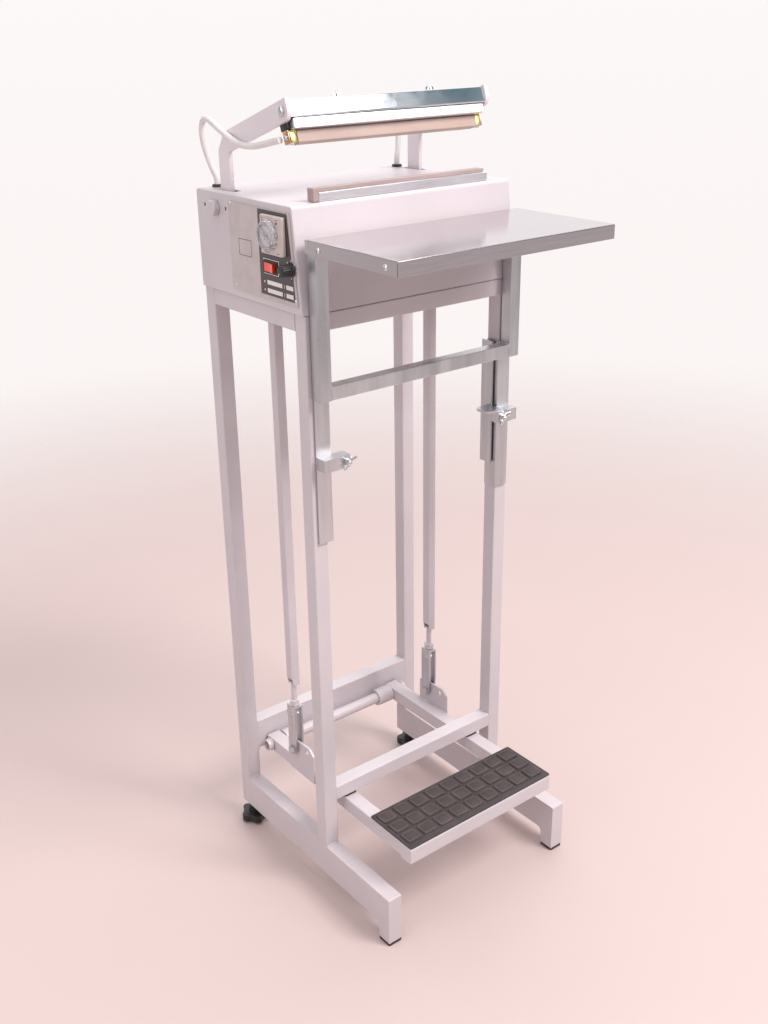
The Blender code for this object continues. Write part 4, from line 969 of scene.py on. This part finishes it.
# ---- stage, in metres ------------------------------------------------------------------------------
CAMERA_PLACE, CAMERA_LENS = (-1.04785, -1.30425, 1.351), 27.26
CAMERA_AZIMUTH, CAMERA_ELEVATION, CAMERA_ROLL = -37.91, 23.45, -0.83
FLOOR_RADIUS, FLOOR_FADE = 4.0, (1.1, 3.4)
FLOOR_COLOUR = (0.565, 0.45, 0.43)
WORLD_STRENGTH = 1.25
BELOW = (0.775, 0.735, 0.73)                 # what shows past the floor's edge, on the wall's side
GROUND = (0.50, 0.455, 0.45)                 # the same on the room's side
HORIZON, ABOVE, ROOM = (0.785, 0.755, 0.76), (1.0, 0.965, 0.97), (0.37, 0.352, 0.36)
CEILING, CEILING_HEIGHTS = (1.35, 1.30, 1.32), (0.72, 0.86)
WALL_DIRECTION, WALL_EDGES = (0.617, 0.787, 0.0), (50.0, 80.0)
SCREEN_DIRECTION, SCREEN_EDGES = (0.761, -0.439, 0.478), (12.5, 19.5)
SCREEN_COLOUR = (0.13, 0.185, 0.205)
# Each light: its name, place, target, size, power and colour.
SOFTBOXES = (
    ("key_light", (0.85, -2.05, 3.3), (0, 0, 0.7), 1.2, 88.0, (1.0, 0.965, 0.955)),
    ("front_light", (1.45, -2.5, 2.55), (0, 0, 1.2), 0.95, 21.0, (1.0, 0.98, 0.98)),
    ("side_light", (-2.7, -0.2, 1.7), (0, 0, 0.8), 1.6, 17.0, (0.98, 0.975, 1.0)),
)


def camera():
    """A tripod at the front left, looking down a little, with a slight roll."""
    azimuth, elevation, roll = (radians(a) for a in (CAMERA_AZIMUTH, CAMERA_ELEVATION, CAMERA_ROLL))
    back = Vector((sin(azimuth) * cos(elevation), -cos(azimuth) * cos(elevation), sin(elevation)))
    right = Vector((cos(azimuth), sin(azimuth), 0.0))
    up = back.cross(right)
    data = bpy.data.cameras.new("camera")
    data.sensor_fit = "VERTICAL"
    data.sensor_height = 24.0
    data.lens = CAMERA_LENS
    made = bpy.data.objects.new("camera", data)
    bpy.context.scene.collection.objects.link(made)
    rolled = (right * cos(roll) + up * sin(roll), up * cos(roll) - right * sin(roll), back)
    made.matrix_world = Matrix.Translation(CAMERA_PLACE) @ Matrix(rolled).transposed().to_4x4()
    bpy.context.scene.camera = made


def softbox(name, place, target, size, power, colour):
    data = bpy.data.lights.new(name, "AREA")
    data.shape = "SQUARE"
    data.size = size
    data.energy = power
    data.color = colour
    made = bpy.data.objects.new(name, data)
    bpy.context.scene.collection.objects.link(made)
    made.matrix_world = aim(place, Vector(place) - Vector(target))


def floor():
    """A plain pale floor that fades into the surroundings."""
    bm = bmesh.new()
    bmesh.ops.create_circle(bm, cap_ends=True, segments=96, radius=FLOOR_RADIUS)
    mesh = bpy.data.meshes.new("floor")
    bm.to_mesh(mesh)
    bm.free()
    made = bpy.data.objects.new("floor", mesh)
    bpy.context.scene.collection.objects.link(made)
    look = Look("pale_floor")
    away = look.add("ShaderNodeVectorMath", {"operation": "LENGTH"}, Vector=look.place).outputs["Value"]
    faded = look.level(away, 1.0, 0.0, *FLOOR_FADE, interpolation_type="SMOOTHSTEP")
    base = look.ramp(look.noise(3.0), shade(FLOOR_COLOUR, 0.99), FLOOR_COLOUR)
    mesh.materials.append(look.finish(Base_Color=base, Roughness=look.level(look.noise(8.0), 0.55, 0.6),
                                      Alpha=faded))


def studio_world():
    """A dim room with a bright ceiling, a white wall behind the machine and a teal screen in front of it."""
    world = bpy.data.worlds.new("studio")
    world.use_nodes = True
    sky = NodeTree(world.node_tree)
    direction = sky.add("ShaderNodeTexCoord").outputs["Generated"]
    height = sky.add("ShaderNodeSeparateXYZ", Vector=direction).outputs["Z"]

    def near(middle, edges):
        """How far a direction lies inside a round patch of the surroundings, from 0 to 1."""
        toward = sky.add("ShaderNodeVectorMath", {"operation": "DOT_PRODUCT"})
        for socket, value in zip(toward.inputs, (direction, middle)):
            sky.put(socket, value)
        full, none = (cos(radians(angle)) for angle in edges)
        return sky.level(toward.outputs["Value"], 0.0, 1.0, none, full, interpolation_type="SMOOTHSTEP")
    wall = sky.mix(sky.level(height, 0.0, 1.0, 0.02, 0.3), HORIZON, ABOVE)
    raised = sky.level(height, 0.0, 1.0, -0.16, 0.02)
    behind, before = sky.mix(raised, BELOW, wall), sky.mix(raised, GROUND, ROOM)
    everything = sky.mix(near(WALL_DIRECTION, WALL_EDGES), before, behind)
    roofed = sky.mix(sky.level(height, 0.0, 1.0, *CEILING_HEIGHTS), everything, CEILING)
    screened = sky.mix(near(SCREEN_DIRECTION, SCREEN_EDGES), roofed, SCREEN_COLOUR)
    sky.feed(world.node_tree.nodes["Background"], Color=screened, Strength=WORLD_STRENGTH)
    bpy.context.scene.world = world


def stage():
    floor()
    studio_world()
    for light in SOFTBOXES:
        softbox(*light)
    bpy.context.scene.view_settings.view_transform = "Standard"


camera()
stage()
jaw_wires()
return_spring()
tread_mat()
terminals()
arm_bolts()
panel_prints()
timer_dial()
timer_face()
selector_knob()
table_details()
table_welds()
clamp_screws()
stand_welds()
pedal_welds()
dress_nodes()
